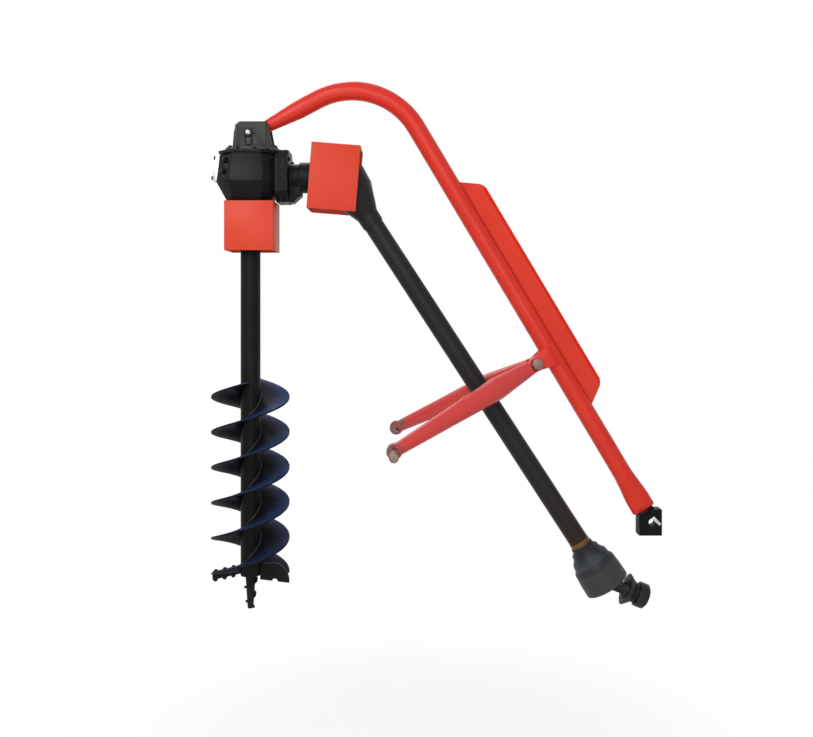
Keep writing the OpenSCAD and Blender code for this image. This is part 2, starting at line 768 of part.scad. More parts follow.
module oil_plugs() color("#2a2a2c") at_gearbox() plug_places() {
    translate([0, 0, -5.5]) cylinder(r = 8, h = 6.5);
    translate([0, 0, 1]) cylinder(r = 9.5, h = 7, $fn = NOT_SMOOTH);
}

module input_housing() color("#1b1b1d") at_gearbox() difference() {
    union() {
        bar_x(spigot_r - fit, inner_bearing_x - 2, input_face + over);
        flange_plate(input_face, input_face + flange_t);
        bar_x(neck_d / 2, input_face + flange_t - over, input_face + flange_t + neck_l + over);
        bar_x(neck_end_d / 2, input_face + flange_t + neck_l, neck_end);
        plate(64) polygon([
            [input_face + 2, -neck_d / 2 + 12], [input_face + 2, -flange_half + 1],
            [input_face + flange_t + 12, -flange_half + 1],
            [input_face + flange_t + 38, -neck_d / 2 - 14], [input_face + flange_t + 38, -neck_d / 2 + 12]
        ]);
    }
    bar_x(input_seat_r, inner_bearing_x - 3, inner_bearing_x + bearing_w);
    bar_x(outer_seat_r - 3, inner_bearing_x, neck_end + over);
    bar_x(outer_seat_r, outer_bearing_x, neck_end + over);
    flange_bolt_places() translate([0, 0, -flange_t - over])
        cylinder(r = bolt_r + fit, h = flange_t + 2 * over);
}

// Bearings and seals

module cup(r_shaft, r_seat) {
    t = 0.3 * (r_seat - r_shaft);
    rotate_extrude()
        polygon([[r_seat - t, 0], [r_seat - fit, 0], [r_seat - fit, bearing_w], [r_seat - t - 2, bearing_w]]);
}

module cone(r_shaft, r_seat) {
    t = 0.3 * (r_seat - r_shaft) + gap;
    rotate_extrude()
        polygon([
            [r_shaft + fit, 0], [r_seat - t, 0], [r_seat - t - 2, bearing_w], [r_shaft + fit, bearing_w]
        ]);
}

module output_bearing_places(which) {
    if (which != "low") translate([0, 0, top_bearing_z]) children();
    if (which != "top") translate([0, 0, low_bearing_z + bearing_w]) rotate([180, 0, 0]) children();
}

module along_x(x) translate([x, 0, 0]) rotate([0, 90, 0]) children();

module bearing_cups() color("gray") at_gearbox() {
    output_bearing_places("top") cup(output_top_r, top_seat_r);
    output_bearing_places("low") cup(output_r, low_seat_r);
    along_x(inner_bearing_x) cup(input_inner_d / 2, input_seat_r);
    along_x(outer_bearing_x) cup(input_end_r, outer_seat_r);
}

module shaft_seals() color("#333333") at_gearbox() {
    ring_z(output_r + fit, output_r + seal_w - fit, -case_depth, low_bearing_z - 1);
    along_x(neck_end - 12) ring_z(input_end_r + fit, outer_seat_r - fit, 0, 11);
}

// Sheet guards

module output_guard() color("tomato") at_gearbox() translate([0, 0, -case_depth]) difference() {
    w = output_guard_w;
    translate([output_guard_shift, 0, 0]) difference() {
        translate([-w / 2, -w / 2, -output_guard_h]) cube([w, w, output_guard_h]);
        translate([-w / 2 + sheet_t, -w / 2 + sheet_t, -output_guard_h - over])
            cube([w - 2 * sheet_t, w - 2 * sheet_t, output_guard_h - sheet_t + over]);
    }
    translate([0, 0, -2 * sheet_t]) cylinder(r = output_r + seal_w, h = 3 * sheet_t);
    translate([0, 0, case_depth]) guard_bolt_places() translate([0, 0, -6 * sheet_t])
        cylinder(r = bolt_r + fit, h = 12 * sheet_t);
}

// Bolts up through the output guard into the foot of the case
module guard_bolt_places() for (x = [-1, 1]) for (y = [-1, 1]) {
    out = output_r + seal_w + 12;
    translate([x * out, y * out, -case_depth - sheet_t]) rotate([180, 0, 0]) children();
}

module on_input_guard()
    translate([joint_out - input_guard_back, 0, -6]) rotate([0, input_guard_tilt, 0]) children();

module input_guard() color("tomato") at_gearbox() {
    w = input_guard_w;
    h = input_guard_h;
    d = input_guard_d;
    difference() {
        union() {
            on_input_guard() difference() {
                translate([-w / 2, -d / 2, -h / 2]) cube([w, d, h]);
                translate([-w / 2 + sheet_t, -d / 2 + sheet_t, -h / 2 - over])
                    cube([w, d - 2 * sheet_t, h - sheet_t + over]);
            }
            bar_x(clamp_r, neck_end - clamp_w, neck_end);
        }
        bar_x(neck_end_d / 2 + fit, neck_end - 4 * clamp_w, neck_end + over);
        clamp_bolt_place() translate([0, 0, -clamp_r]) cylinder(r = bolt_r + fit, h = 2 * clamp_r);
    }
}

// The guard's clamp ring is held to the neck by a bolt on its far side
module clamp_bolt_place() translate([neck_end - clamp_w / 2, clamp_r, 0]) rotate([-90, 0, 0]) children();

module guard_bolts() color("silver") at_gearbox() {
    guard_bolt_places() bolt(bolt_r, sheet_t + 5);
    clamp_bolt_place() bolt(bolt_r, clamp_wall - 0.2);
}

// Bevel gears

// Involute function, in degrees
function inv(a) = tan(a) * 180 / PI - a;

// Half the angle of a tooth of the developed gear at radius rho
function tooth_half(rho, rv, rb) =
    tooth_w / (2 * rv) * 180 / PI + inv(pressure_angle) - inv(acos(min(1, rb / max(rho, rb))));

// Corners of a bevel gear at its outer end, apex at the origin and axis along Z
function gear_rim(teeth, rp, angle, add, ded) = let (
    rv = rp / cos(angle),
    rb = rv * cos(pressure_angle),
    heights = [-ded, -0.4 * ded, 0, 0.5 * add, add],
    flank = [for (h = heights) [h, tooth_half(rv + h, rv, rb) / cos(angle)]],
    profile = concat([for (f = flank) [f[0], -f[1]]], [for (i = [4:-1:0]) [flank[i][0], flank[i][1]]])
) [
    for (k = [0:teeth - 1]) for (p = profile) let (
        r = rp + p[0] * cos(angle),
        a = 360 * k / teeth + p[1]
    ) [r * cos(a), r * sin(a), rp / tan(angle) - p[0] * sin(angle)]
];

module bevel_gear(teeth, rp, angle, add, ded, back) {
    outer = gear_rim(teeth, rp, angle, add, ded);
    n = len(outer);
    shrink = (cone_dist - gear_face) / cone_dist;
    inner = shrink * outer;
    polyhedron(
        points = concat(outer, inner, [[0, 0, back], [0, 0, inner[0][2] + 2]]),
        faces = [for (i = [0:n - 1]) let (j = (i + 1) % n) each [
            [i, n + i, n + j], [i, n + j, j], [i, j, 2 * n], [n + j, n + i, 2 * n + 1]
        ]]
    );
}

module crown_gear() color("gray") at_gearbox() difference() {
    bevel_gear(crown_teeth, crown_rp, crown_angle, crown_add, pinion_add + root_gap, crown_back);
    translate([0, 0, -over]) cylinder(r = gear_seat_r + fit, h = crown_back + 2 * over);
}

module pinion_gear() color("gray") at_gearbox() along_x(0) rotate([0, 0, 180 / pinion_teeth]) difference() {
    bevel_gear(pinion_teeth, pinion_rp, 90 - crown_angle, pinion_add, crown_add + root_gap, pinion_back);
    cylinder(r = pinion_bore_d / 2 + fit, h = pinion_back + over);
}

// Shafts

module output_shaft() color("gray") at_gearbox() difference() {
    shaft_foot = -collar_top - collar_l - 3;
    rotate_extrude() polygon([
        [0, shaft_foot], [output_r - 1, shaft_foot], [output_r, shaft_foot + 1], [output_r, pinion_rp - 12],
        [gear_seat_r, pinion_rp - 12], [gear_seat_r, crown_back], [output_top_r, crown_back],
        [output_top_r, top_bearing_z + bearing_w], [0, top_bearing_z + bearing_w]
    ]);
    coupling_bolt_places() cross_bar(coupling_bolt_d / 2 + fit, collar_d);
}

module output_bearing_cones() color("gray") at_gearbox() {
    output_bearing_places("top") cone(output_top_r, top_seat_r);
    output_bearing_places("low") cone(output_r, low_seat_r);
}

module input_shaft() color("gray") at_gearbox() along_x(0) rotate_extrude() polygon([
    [0, crown_rp - gear_face - 2], [pinion_bore_d / 2, crown_rp - gear_face - 2],
    [pinion_bore_d / 2, pinion_shoulder],
    [input_inner_d / 2, pinion_shoulder], [input_inner_d / 2, inner_bearing_x + bearing_w + 2],
    [input_end_r, inner_bearing_x + bearing_w + 2], [input_end_r, joint_out - yoke_throat - 3],
    [0, joint_out - yoke_throat - 3]
]);

module input_bearing_cones() color("gray") at_gearbox() {
    along_x(inner_bearing_x) cone(input_inner_d / 2, input_seat_r);
    along_x(outer_bearing_x) cone(input_end_r, outer_seat_r);
}

// Auger

module auger_tube() color("#1d1d20") at_gearbox() difference() {
    translate([0, 0, tube_foot]) cylinder(r = tube_r, h = -tube_foot - collar_top);
    translate([0, 0, tube_foot + 12]) cylinder(r = output_r + fit, h = -tube_foot);
    coupling_bolt_places() cross_bar(coupling_bolt_d / 2 + fit, collar_d);
}

module coupling_bolt_places() for (k = [0.28, 0.72])
    translate([0, 0, -collar_top - k * collar_l]) children();

module auger_collar() color("#1d1d20") at_gearbox() difference() {
    ring_z(tube_r, collar_d / 2, -collar_top - collar_l, -collar_top);
    coupling_bolt_places() cross_bar(coupling_bolt_d / 2 + fit, collar_d + 2 * over);
}

module auger_bolts() color("silver") at_gearbox() coupling_bolt_places()
    translate([0, -collar_d / 2, 0]) rotate([90, 0, 0]) bolt_and_nut(coupling_bolt_d / 2, collar_d);

// One start of the right-hand flighting, beginning at the given bearing
module flight(bearing) at_gearbox() difference() {
    translate([0, 0, -flight_foot]) rotate([0, 0, bearing])
        linear_extrude(flight_h, twist = -flight_turn, slices = round(flight_turn / 7.5), segments = 6)
            polygon(concat(
                [for (a = [0, 0.5, 1]) (tube_r + 0.35) * [cos(a * flight_wedge), sin(a * flight_wedge)]],
                [for (a = [1, 0.5, 0]) auger_r * [cos(a * flight_wedge), sin(a * flight_wedge)]]
            ));
    translate([0, 0, -flight_foot]) cube([2 * auger_d, cutter_t + 2 * fit, 90], center = true);
}

module auger_flight_a() color("#23232b") flight(180);
module auger_flight_b() color("#23232b") flight(0);

// Toothed bar on the left, drooping outwards, with teeth on both edges
module cutter_bar() color("#1d1d20") at_gearbox() translate([0, 0, -flight_foot]) difference() {
    bar_l = auger_r - 3;
    droop = 22;
    tooth = 7;
    plate(cutter_t) union() {
        polygon([[0, cutter_h + 6], [-bar_l, cutter_h - droop], [-bar_l, -droop], [0, 6]]);
        for (k = [0.45, 0.68, 0.92]) translate([-k * bar_l, 6 - k * (droop + 6)]) {
            polygon([[-8, 1], [-4, -tooth], [4, -tooth], [8, 1]]);
            translate([0, cutter_h]) polygon([[8, -1], [4, tooth - 2], [-4, tooth - 2], [-8, -1]]);
        }
    }
    cylinder(r = tube_r, h = 4 * cutter_h, center = true);
}

// Notched blade on the right, with a round outer edge
module cutter_blade() color("#1d1d20") at_gearbox() translate([0, 0, -flight_foot]) difference() {
    low = -31;
    plate(cutter_t) difference() {
        intersection() {
            polygon([[0, 32], [0, -16], [auger_r, low], [auger_r, 32]]);
            translate([auger_r - 62, -26]) circle(62);
            translate([-auger_r, -auger_r]) square(2 * auger_r);
        }
        translate([0.63 * auger_r, -26]) circle(9);
    }
    cylinder(r = tube_r, h = 4 * cutter_h, center = true);
}

// Screw point: a tapered core with one thread
module pilot_point() color("#1d1d20") at_gearbox() translate([0, 0, tube_foot - pilot_l]) {
    taper = 1.75;
    core = pilot_core_d / 2 / taper;
    thread = pilot_d / 2 / taper;
    linear_extrude(pilot_l, twist = -360 * pilot_l / pilot_pitch, scale = taper, slices = 60, segments = 12)
        polygon(concat(
            [for (a = [50:31:360]) core * [cos(a), sin(a)]],
            [for (a = [0, 22, 44]) thread * [cos(a), sin(a)]]
        ));
}

// Universal joints

// A yoke: ears along X about the joint's centre, hub below
module joint_yoke(r, hub_l) {
    bridge_z = -yoke_throat - bridge_t;
    translate([0, 0, bridge_z - hub_l]) cylinder(r = r, h = hub_l + bridge_t / 2);
    translate([-ear_out, -ear_half, bridge_z]) cube([2 * ear_out, 2 * ear_half, bridge_t]);
    for (side = [-1, 1]) translate([side * (ear_in + ear_out) / 2, 0, 0]) {
        t = ear_out - ear_in;
        translate([-t / 2, -ear_half + 0.4, bridge_z + over])
            cube([t, 2 * ear_half - 0.8, yoke_throat + bridge_t - over]);
        rotate([0, 90, 0]) cylinder(r = ear_half, h = t, center = true);
    }
}

module input_yoke() color("#202022") at_gearbox() difference() {
    translate([joint_out, 0, 0]) rotate([0, 90, 0]) rotate([0, 0, 90]) joint_yoke(28, input_hub_l);
    bar_x(input_end_r + fit, neck_end, joint_out - yoke_throat - 2);
}

module input_joint_cross() color("gray") at_gearbox() translate([joint_out, 0, 0]) sphere(ear_in - gap);

module upper_yoke() color("#202022") on_drive() rotate([180, 0, 0])
    joint_yoke(hub_r, bell_l + 5 - yoke_throat - bridge_t);

module trunnion_bore() rotate([0, 90, 0]) cylinder(r = trunnion_d / 2 + fit, h = 3 * ear_out, center = true);

module lower_yoke() color("#202022") on_drive(drive_len) difference() {
    joint_yoke(hub_r, bell_l - 10 - yoke_throat - bridge_t);
    trunnion_bore();
}

module lower_cross() color("gray") on_drive(drive_len) {
    sphere(trunnion_d / 2 + 6);
    for (turn = [0, 90]) rotate([0, 0, turn]) rotate([0, 90, 0])
        cylinder(d = trunnion_d, h = 2 * ear_out, center = true);
}

module on_tractor_yoke() on_drive(drive_len) rotate([0, 180 - yoke_bend, 0]) rotate([0, 0, 90]) children();

module tractor_yoke() color("#202022") on_tractor_yoke() difference() {
    union() {
        joint_yoke(hub_r + hub_step, tractor_yoke_l - yoke_throat - bridge_t);
        translate([0, 0, -yoke_throat - bridge_t + over - flare_l])
            cylinder(r1 = hub_r + hub_step + 0.5, r2 = flare_r, h = flare_l);
    }
    trunnion_bore();
    translate([0, 0, -tractor_yoke_l - over])
        cylinder(d = pto_bore_d, h = tractor_yoke_l + over - yoke_throat - bridge_t / 2);
}

module locking_collar() color("#3a3a3c") on_tractor_yoke()
    ring_z(hub_r + hub_step + fit, hub_r + hub_step + lock_wall,
        -tractor_yoke_l + lock_back, -tractor_yoke_l + lock_back + lock_l);

// Driveline shield and shafts

// A stepped bell as a thin turned wall: pairs of distance from the mouth and outer radius
module bell(profile, wall) rotate_extrude() polygon(concat(
    [for (p = profile) [p[1], p[0]]],
    [for (i = [len(profile) - 1:-1:0]) [profile[i][1] - wall, profile[i][0]]]
));

module upper_bell() color("#26262a") on_drive() bell([
    [3, bell_r], [bell_l * 0.4, bell_r - 5], [bell_l * 0.6, bell_r - 17],
    [bell_l * 0.78, (bell_r + shield_r) / 2 - 6],
    [bell_l - 6, shield_r + bell_wall + 1], [bell_l + 30, shield_r + bell_wall]
], bell_wall);

module outer_shield_tube() color("#26262a") on_drive()
    ring_z(shield_r - shield_wall, shield_r - fit, bell_l - 8, shield_end);

module upper_shield_ring() color("ivory") on_drive()
    ring_z(hub_r + fit, shield_r - shield_wall - fit, bell_l - 7, bell_l + 4);

module square_tube(w, z0, z1) translate([-w / 2, -w / 2, z0]) cube([w, w, z1 - z0]);

module outer_drive_tube() color("gray") on_drive() difference() {
    square_tube(drive_tube_w, bell_l + 5, shield_end - 65);
    square_tube(drive_tube_w - 2 * drive_tube_wall, bell_l + 5 - over, shield_end);
}

module inner_shield_tube() color("#3a3a3e") on_drive()
    ring_z(inner_shield_r - shield_wall, inner_shield_r, shield_end - drive_overlap, shield_end + 7);

module inner_drive_bar() color("gray") on_drive()
    square_tube(drive_bar_w, shield_end - drive_overlap - 60, drive_len - bell_l + 10);

module lower_shield_ring() color("goldenrod") on_drive() rotate_extrude() polygon([
    [inner_shield_r + fit, shield_end + 1], [shield_r + 1, shield_end + 1],
    [shield_r + 1, shield_end + 1 + ring_w], [hub_r + fit, shield_end + 1 + ring_w],
    [hub_r + fit, shield_end + 8], [inner_shield_r + fit, shield_end + 8]
]);

module lower_bell() color("#4a4f55") on_drive() bell([
    [bell_neck, shield_r + 1 + fit + bell_wall], [bell_neck + 12, shield_r + 5],
    [bell_neck + 20, shield_r + 14], [bell_neck + 32, shield_r + 16], [bell_neck + 48, shield_r + 28],
    [bell_neck + bell_l * 0.44, shield_r + 31], [bell_neck + bell_l / 2 + 1, bell_r - 4],
    [drive_len - 26, bell_r - 1],
    [bell_mouth, bell_r]
], bell_wall);

boom_tube();
boom_bend();
boom_tail();
boom_nose();
boom_fin();
boom_rear_bush();
boom_tongue();
hitch_block();
hitch_bolts();
hitch_clip();
yoke_lugs();
yoke_pivot_pin();
yoke_head();
yoke_arm_left();
yoke_arm_right();
lower_link_pin_left();
lower_link_pin_right();
gearbox_case();
gearbox_lid();
boom_clevis();
boom_pin();
housing_bolts();
side_cover();
oil_plugs();
input_housing();
bearing_cups();
shaft_seals();
input_guard();
output_guard();
guard_bolts();
output_shaft();
crown_gear();
output_bearing_cones();
auger_tube();
auger_collar();
auger_bolts();
auger_flight_a();
auger_flight_b();
cutter_bar();
cutter_blade();
pilot_point();
input_shaft();
pinion_gear();
input_bearing_cones();
input_yoke();
input_joint_cross();
upper_bell();
outer_shield_tube();
upper_shield_ring();
upper_yoke();
outer_drive_tube();
lower_bell();
inner_shield_tube();
lower_shield_ring();
lower_yoke();
inner_drive_bar();
lower_cross();
tractor_yoke();
locking_collar();
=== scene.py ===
"""Looks of an earth auger for a tractor's three-point hitch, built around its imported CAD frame."""

import functools
import json
import math

import bpy
from mathutils import Matrix, Vector

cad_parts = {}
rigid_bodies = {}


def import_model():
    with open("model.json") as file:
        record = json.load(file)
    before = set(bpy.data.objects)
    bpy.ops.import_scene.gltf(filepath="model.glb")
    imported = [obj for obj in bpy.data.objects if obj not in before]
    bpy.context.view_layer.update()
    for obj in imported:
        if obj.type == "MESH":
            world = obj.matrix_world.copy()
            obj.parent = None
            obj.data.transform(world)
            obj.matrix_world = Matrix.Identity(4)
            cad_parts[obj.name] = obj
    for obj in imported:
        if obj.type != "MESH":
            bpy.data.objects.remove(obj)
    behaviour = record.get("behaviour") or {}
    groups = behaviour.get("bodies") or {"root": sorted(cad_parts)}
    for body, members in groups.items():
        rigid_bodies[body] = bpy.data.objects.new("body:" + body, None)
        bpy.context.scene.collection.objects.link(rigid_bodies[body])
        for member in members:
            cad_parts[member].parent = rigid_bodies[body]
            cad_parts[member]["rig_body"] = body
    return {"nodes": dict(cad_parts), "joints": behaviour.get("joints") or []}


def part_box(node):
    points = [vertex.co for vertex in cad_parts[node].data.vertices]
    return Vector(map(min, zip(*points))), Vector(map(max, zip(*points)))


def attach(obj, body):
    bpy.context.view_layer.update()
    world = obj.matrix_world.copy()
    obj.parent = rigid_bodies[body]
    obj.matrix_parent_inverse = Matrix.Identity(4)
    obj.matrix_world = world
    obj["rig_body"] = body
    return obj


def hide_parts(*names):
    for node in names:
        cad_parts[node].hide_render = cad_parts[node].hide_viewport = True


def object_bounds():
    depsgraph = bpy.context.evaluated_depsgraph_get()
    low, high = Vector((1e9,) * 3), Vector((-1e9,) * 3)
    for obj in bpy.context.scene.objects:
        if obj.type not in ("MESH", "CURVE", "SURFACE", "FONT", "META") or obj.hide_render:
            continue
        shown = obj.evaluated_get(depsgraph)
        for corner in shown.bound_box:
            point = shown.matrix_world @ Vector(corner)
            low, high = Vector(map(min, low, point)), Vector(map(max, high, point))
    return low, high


bl_info = {
    "name": "Earth Auger Looks",
    "version": (1, 0, 0),
    "blender": (4, 5, 0),
    "location": "3D View > Sidebar > Earth Auger",
    "description": "Welds, softened castings, flighting, driveline shields and paint for an earth auger",
    "category": "Object",
}

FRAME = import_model()
NODES = FRAME["nodes"]
CAD_BOX = [list(corner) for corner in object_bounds()]
JOINTS = {joint["name"]: joint for joint in FRAME["joints"]}

# Places that the frame gives, in metres
BOOM_PIN = Vector(JOINTS["gearbox_swing"]["pos_m"])
GEAR_CENTRE = Vector(JOINTS["auger_spin"]["pos_m"])
YOKE_PIN = Vector(JOINTS["yoke_swing"]["pos_m"])
UPPER_JOINT = Vector(JOINTS["upper_shaft_spin"]["pos_m"])
LOWER_JOINT = Vector(JOINTS["lower_shaft_spin"]["pos_m"])
DRIVE_AXIS = Vector(JOINTS["upper_shaft_spin"]["axis"]).normalized()
ACROSS = Vector((0.0, 1.0, 0.0))
UPRIGHT = Vector((0.0, 0.0, 1.0))
SIDES = (("near", -1), ("far", 1))

# The straight run of the boom: from the top-link bore up towards the bend
BOOM_LEAN = math.radians(59.2)
BOOM_ALONG = Vector((-math.cos(BOOM_LEAN), 0.0, math.sin(BOOM_LEAN)))
BOOM_ABOVE = Vector((math.sin(BOOM_LEAN), 0.0, math.cos(BOOM_LEAN)))


def node_box(node):
    """Lowest and highest corners of a CAD node"""
    low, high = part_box(node)
    return Vector(low), Vector(high)


def half_width(node):
    """Half of a CAD node's width across the boom's plane"""
    low, high = node_box(node)
    return (high.y - low.y) / 2


PIPE_RADIUS = half_width("boom_tube")
TUBE_RADIUS = half_width("auger_tube")
FLIGHT_RADIUS = half_width("auger_flight_a")
FLIGHT_FOOT = node_box("auger_flight_a")[0].z
FLIGHT_HEIGHT = node_box("auger_flight_a")[1].z - FLIGHT_FOOT
EYE_AT = (node_box("lower_link_pin_right")[0] + node_box("lower_link_pin_right")[1]) / 2
ARM_ALONG = Vector((EYE_AT.x - YOKE_PIN.x, 0.0, EYE_AT.z - YOKE_PIN.z)).normalized()

# Bends between neighbouring faces, in degrees, at which wear begins and is full
BEND_FROM = 10.0
BEND_TO = 24.0
# Widest strip of a rounded edge, in radii
STRIP_WIDTH = 1.2
# Mesh attribute that holds the wear along edges
EDGE_LAYER = "edge"

# Corners closer than this are one: in CAD copies, in wound pieces and at their trimmed ends
CAD_MERGE = 0.00002
WOUND_MERGE = 0.00001
TRIM_MERGE = 0.00005
# How far inside the flights' foot and top a wound piece is cut
TRIM_INSIDE = 0.0001

# Sharper or softer rounding of some pieces, as a share of the general radius
CLEVIS_SHARE = 0.5
PIN_SHARE = 1.5
BLOCK_SHARE = 1.6

# Flattening of the pipe's front end: share of the way to the end, and how flat the pipe is there
NOSE_SECTIONS = (
    (0.15, 0.04), (0.30, 0.22), (0.45, 0.50), (0.58, 0.77), (0.68, 0.94), (0.76, 1.0), (0.975, 1.0)
)
NOSE_OVERLAP = 0.0004
NOSE_LIP = 0.0025
NOSE_WALL = 0.0038
NOSE_MOUTH = 0.016

# The fin's outer corners lie more than this above the pipe
FIN_ABOVE = 0.02

# Welds: spacing and thickness of the drops in radii, and distances from the seams and their ends
DROP_STEP = 1.15
DROP_FLAT = 0.75
SEAM_GAP = 0.0006
FIN_WELD_INSET = 0.004
LUG_WELD_INSET = 0.003
PILOT_WELD_INSET = 0.006
ROOT_WELD_OFFSET = 0.0008

# Flights: overlap with the tube, share of the thickness that is eased, and steps of the winding
BLADE_OVERLAP = 0.0004
BLADE_EASE = 0.2
BLADE_STEPS = 260
ROOT_WELD_STEPS = 220

# A grease nipple: its hexagon, then the inset (an outset where negative) and rise of each step
NIPPLE_RADIUS = 0.0050
NIPPLE_FOOT = 0.0040
NIPPLE_STEPS = ((0.0018, 0.0035), (-0.0010, 0.0020), (0.0016, 0.0014))
NIPPLE_ROUND = 0.0004
PIN_NIPPLE_SCALE = 1.5
# From the yoke's pivot to the foot of its nipple
YOKE_NIPPLE_AT = 0.0228

# A keeper ring: its bend and wire, how far it is drawn out, and how it hangs in the pin's hole
RING_RADIUS = 0.0105
RING_WIRE = 0.0017
RING_DRAWN = 0.0190
RING_HANG = 0.0095
RING_INSIDE = 0.0020

# Stage, in metres and watts
MIDDLE = Vector((-0.7, 0.0, 0.6))
FLOOR_WIDTH = 60.0
FLOOR_BELOW = 0.03
# Where the floor begins to fade and is white, and how white it is at first
FLOOR_FADE = (0.45, 1.35)
FLOOR_WHITE = 0.82
SKY_COLOUR = (0.93, 0.96, 1.0, 1.0)
SKY_STRENGTH = 0.43
WHITE = (1.0, 1.0, 1.0, 1.0)
# Name, place, width and power
LAMPS = (
    ("key", (-2.4, -3.6, 2.6), 2.0, 88.0),
    ("fill", (-0.6, -4.2, 0.9), 2.5, 34.0),
    ("rim", (-2.0, 2.2, 3.4), 2.0, 46.0),
)
SENSOR_WIDTH = 36.0
LENS_LENGTH = 44.0
LENS_SHIFT = -0.0744


def length_property(label, text, size):
    """A length in metres that a user can change"""
    return bpy.props.FloatProperty(name=label, description=text, default=size, unit="LENGTH")


class AugerSizes(bpy.types.PropertyGroup):
    """Sizes of the pieces that are made here"""

    casting_round: length_property("Casting round", "Radius on the castings' edges", 0.0022)
    sheet_round: length_property("Sheet round", "Radius on the guards' folded edges", 0.0013)
    plate_round: length_property("Plate round", "Radius on cut plates and forgings", 0.0012)
    moulding_round: length_property("Moulding round", "Radius on the bells' steps", 0.0012)
    bolt_round: length_property("Bolt round", "Radius on the bolts' edges", 0.0006)
    fin_weld: length_property("Fin weld", "Radius of the weld beads along the fin", 0.0030)
    lug_weld: length_property("Lug weld", "Radius of the weld beads along the lugs", 0.0034)
    root_weld: length_property("Root weld", "Radius of the weld beads at the flights' roots", 0.0034)
    pilot_weld: length_property("Pilot weld", "Radius of the weld bead round the pilot", 0.0045)
    nose_from: length_property("Nose start", "From the bore to the flattened end", 0.200)
    nose_wide: length_property("Nose half width", "Half width of the flattened pipe", 0.0385)
    nose_thin: length_property("Nose half thickness", "Half of its thickness", 0.0178)
    fin_corner: length_property("Fin corner", "Radius on the fin's outer corners", 0.0150)
    flight_thick: length_property("Flight thickness", "Thickness along the auger's axis", 0.0060)
    flight_pitch: length_property("Flight pitch", "Rise of one flight in a turn", 0.2260)
    camera_side: length_property("Camera side", "Camera beside the top-link bore", -0.787)
    camera_distance: length_property("Camera distance", "Camera in front of the boom's plane", 3.2)
    camera_height: length_property("Camera height", "Camera above the top-link bore", 0.686)


def paint_property(label, text, colour):
    """A colour that a user can change"""
    return bpy.props.FloatVectorProperty(
        name=label, description=text, subtype="COLOR", size=3, min=0.0, max=1.0, default=colour
    )


class AugerColours(bpy.types.PropertyGroup):
    """Colours of the finishes"""

    boom: paint_property("Boom enamel", "Red enamel on the boom", (0.740, 0.030, 0.013))
    # Painted light: the fin has the boom's red enamel, and this lighter copy brightens its flat face, which
    # gets less light than the pipe
    fin: paint_property("Fin enamel", "Lighter coat on the boom's fin", (0.800, 0.044, 0.018))
    yoke: paint_property("Yoke enamel", "Paler red enamel on the lift yoke", (0.680, 0.058, 0.050))
    faded: paint_property("Faded enamel", "Rubbed enamel at the yoke's eyes", (0.210, 0.085, 0.080))
    guard: paint_property("Guard enamel", "Orange-red enamel on the sheet guards", (0.730, 0.054, 0.018))
    casting: paint_property("Casting black", "Black paint on the gearbox", (0.0072, 0.0069, 0.0090))
    hanger: paint_property("Hanger black", "Dull black on the clevis", (0.020, 0.019, 0.018))
    auger: paint_property("Auger black", "Black paint on the auger", (0.0100, 0.0096, 0.0100))
    # Flight black is the flights' black paint. It stays plain at the roots and on the undersides, where the
    # painted sky sheen stops, so the dark there is painted shade.
    flight: paint_property("Flight black", "Soiled paint at the flights' roots", (0.0075, 0.0085, 0.0140))
    # Rim blue is a painted reflection of the sky on the flights' upper faces, not a blue paint
    rim: paint_property("Rim blue", "Blue paint on the flights' upper rims", (0.0180, 0.0360, 0.1040))
    bead: paint_property("Weld bead", "Brushed weld along the flights' roots", (0.036, 0.035, 0.036))
    shield: paint_property("Shield plastic", "Black plastic on the driveline", (0.0160, 0.0138, 0.0148))
    mud: paint_property("Soil", "Brown soil near the driveline's lower end", (0.026, 0.012, 0.007))
    bell: paint_property("Bell plastic", "Blue-grey plastic on the lower bell", (0.056, 0.063, 0.075))
    # A darker neutral grey on the lower bell below its step
    skirt: paint_property("Skirt plastic", "Soiled grey on the lower bell's skirt", (0.044, 0.044, 0.045))
    ring: paint_property("Ring plastic", "Yellow plastic on the shield's bearing ring", (0.150, 0.080, 0.012))
    zinc: paint_property("Zinc plate", "Plating on the bolts", (0.560, 0.560, 0.570))
    worn: paint_property("Worn steel", "Steel on the hitch pins", (0.260, 0.160, 0.140))
    floor: paint_property("Floor", "Floor and backdrop", (0.80, 0.80, 0.80))


def sizes():
    return bpy.context.scene.auger_sizes


def colours():
    return bpy.context.scene.auger_colours


# Selection and modelling


def to_object_mode():
    if bpy.context.object is not None and bpy.context.object.mode != "OBJECT":
        bpy.ops.object.mode_set(mode="OBJECT")


def to_edit_mode():
    bpy.ops.object.mode_set(mode="EDIT")


def edit_all():
    """Enter edit mode with the whole mesh selected"""
    to_edit_mode()
    bpy.ops.mesh.select_all(action="SELECT")


def start_clear():
    """Leave nothing selected"""
    to_object_mode()
    bpy.ops.object.select_all(action="DESELECT")


def select_only(obj):
    """Leave obj alone selected and active"""
    start_clear()
    obj.select_set(True)
    bpy.context.view_layer.objects.active = obj


def name_new(name):
    """Name the primitive that was just added"""
    obj = bpy.context.object
    obj.name = name
    obj.data.name = name
    return obj


def place(obj, matrix):
    """Put a piece in its place and leave its object at the origin"""
    obj.matrix_world = matrix
    select_only(obj)
    bpy.ops.object.transform_apply(location=True, rotation=True, scale=True)
    return obj


def frame_at(point, along, side=ACROSS):
    """A place whose local Z runs along a direction and whose local Y lies near side"""
    z = Vector(along).normalized()
    x = Vector(side).cross(z).normalized()
    y = z.cross(x)
    turn = Matrix((x, y, z)).transposed().to_4x4()
    return Matrix.Translation(point) @ turn


def apply_modifiers(obj):
    select_only(obj)
    for modifier in list(obj.modifiers):
        bpy.ops.object.modifier_apply(modifier=modifier.name)


def shade_by_angle(obj, angle):
    select_only(obj)
    bpy.ops.object.shade_smooth_by_angle(angle=math.radians(angle))


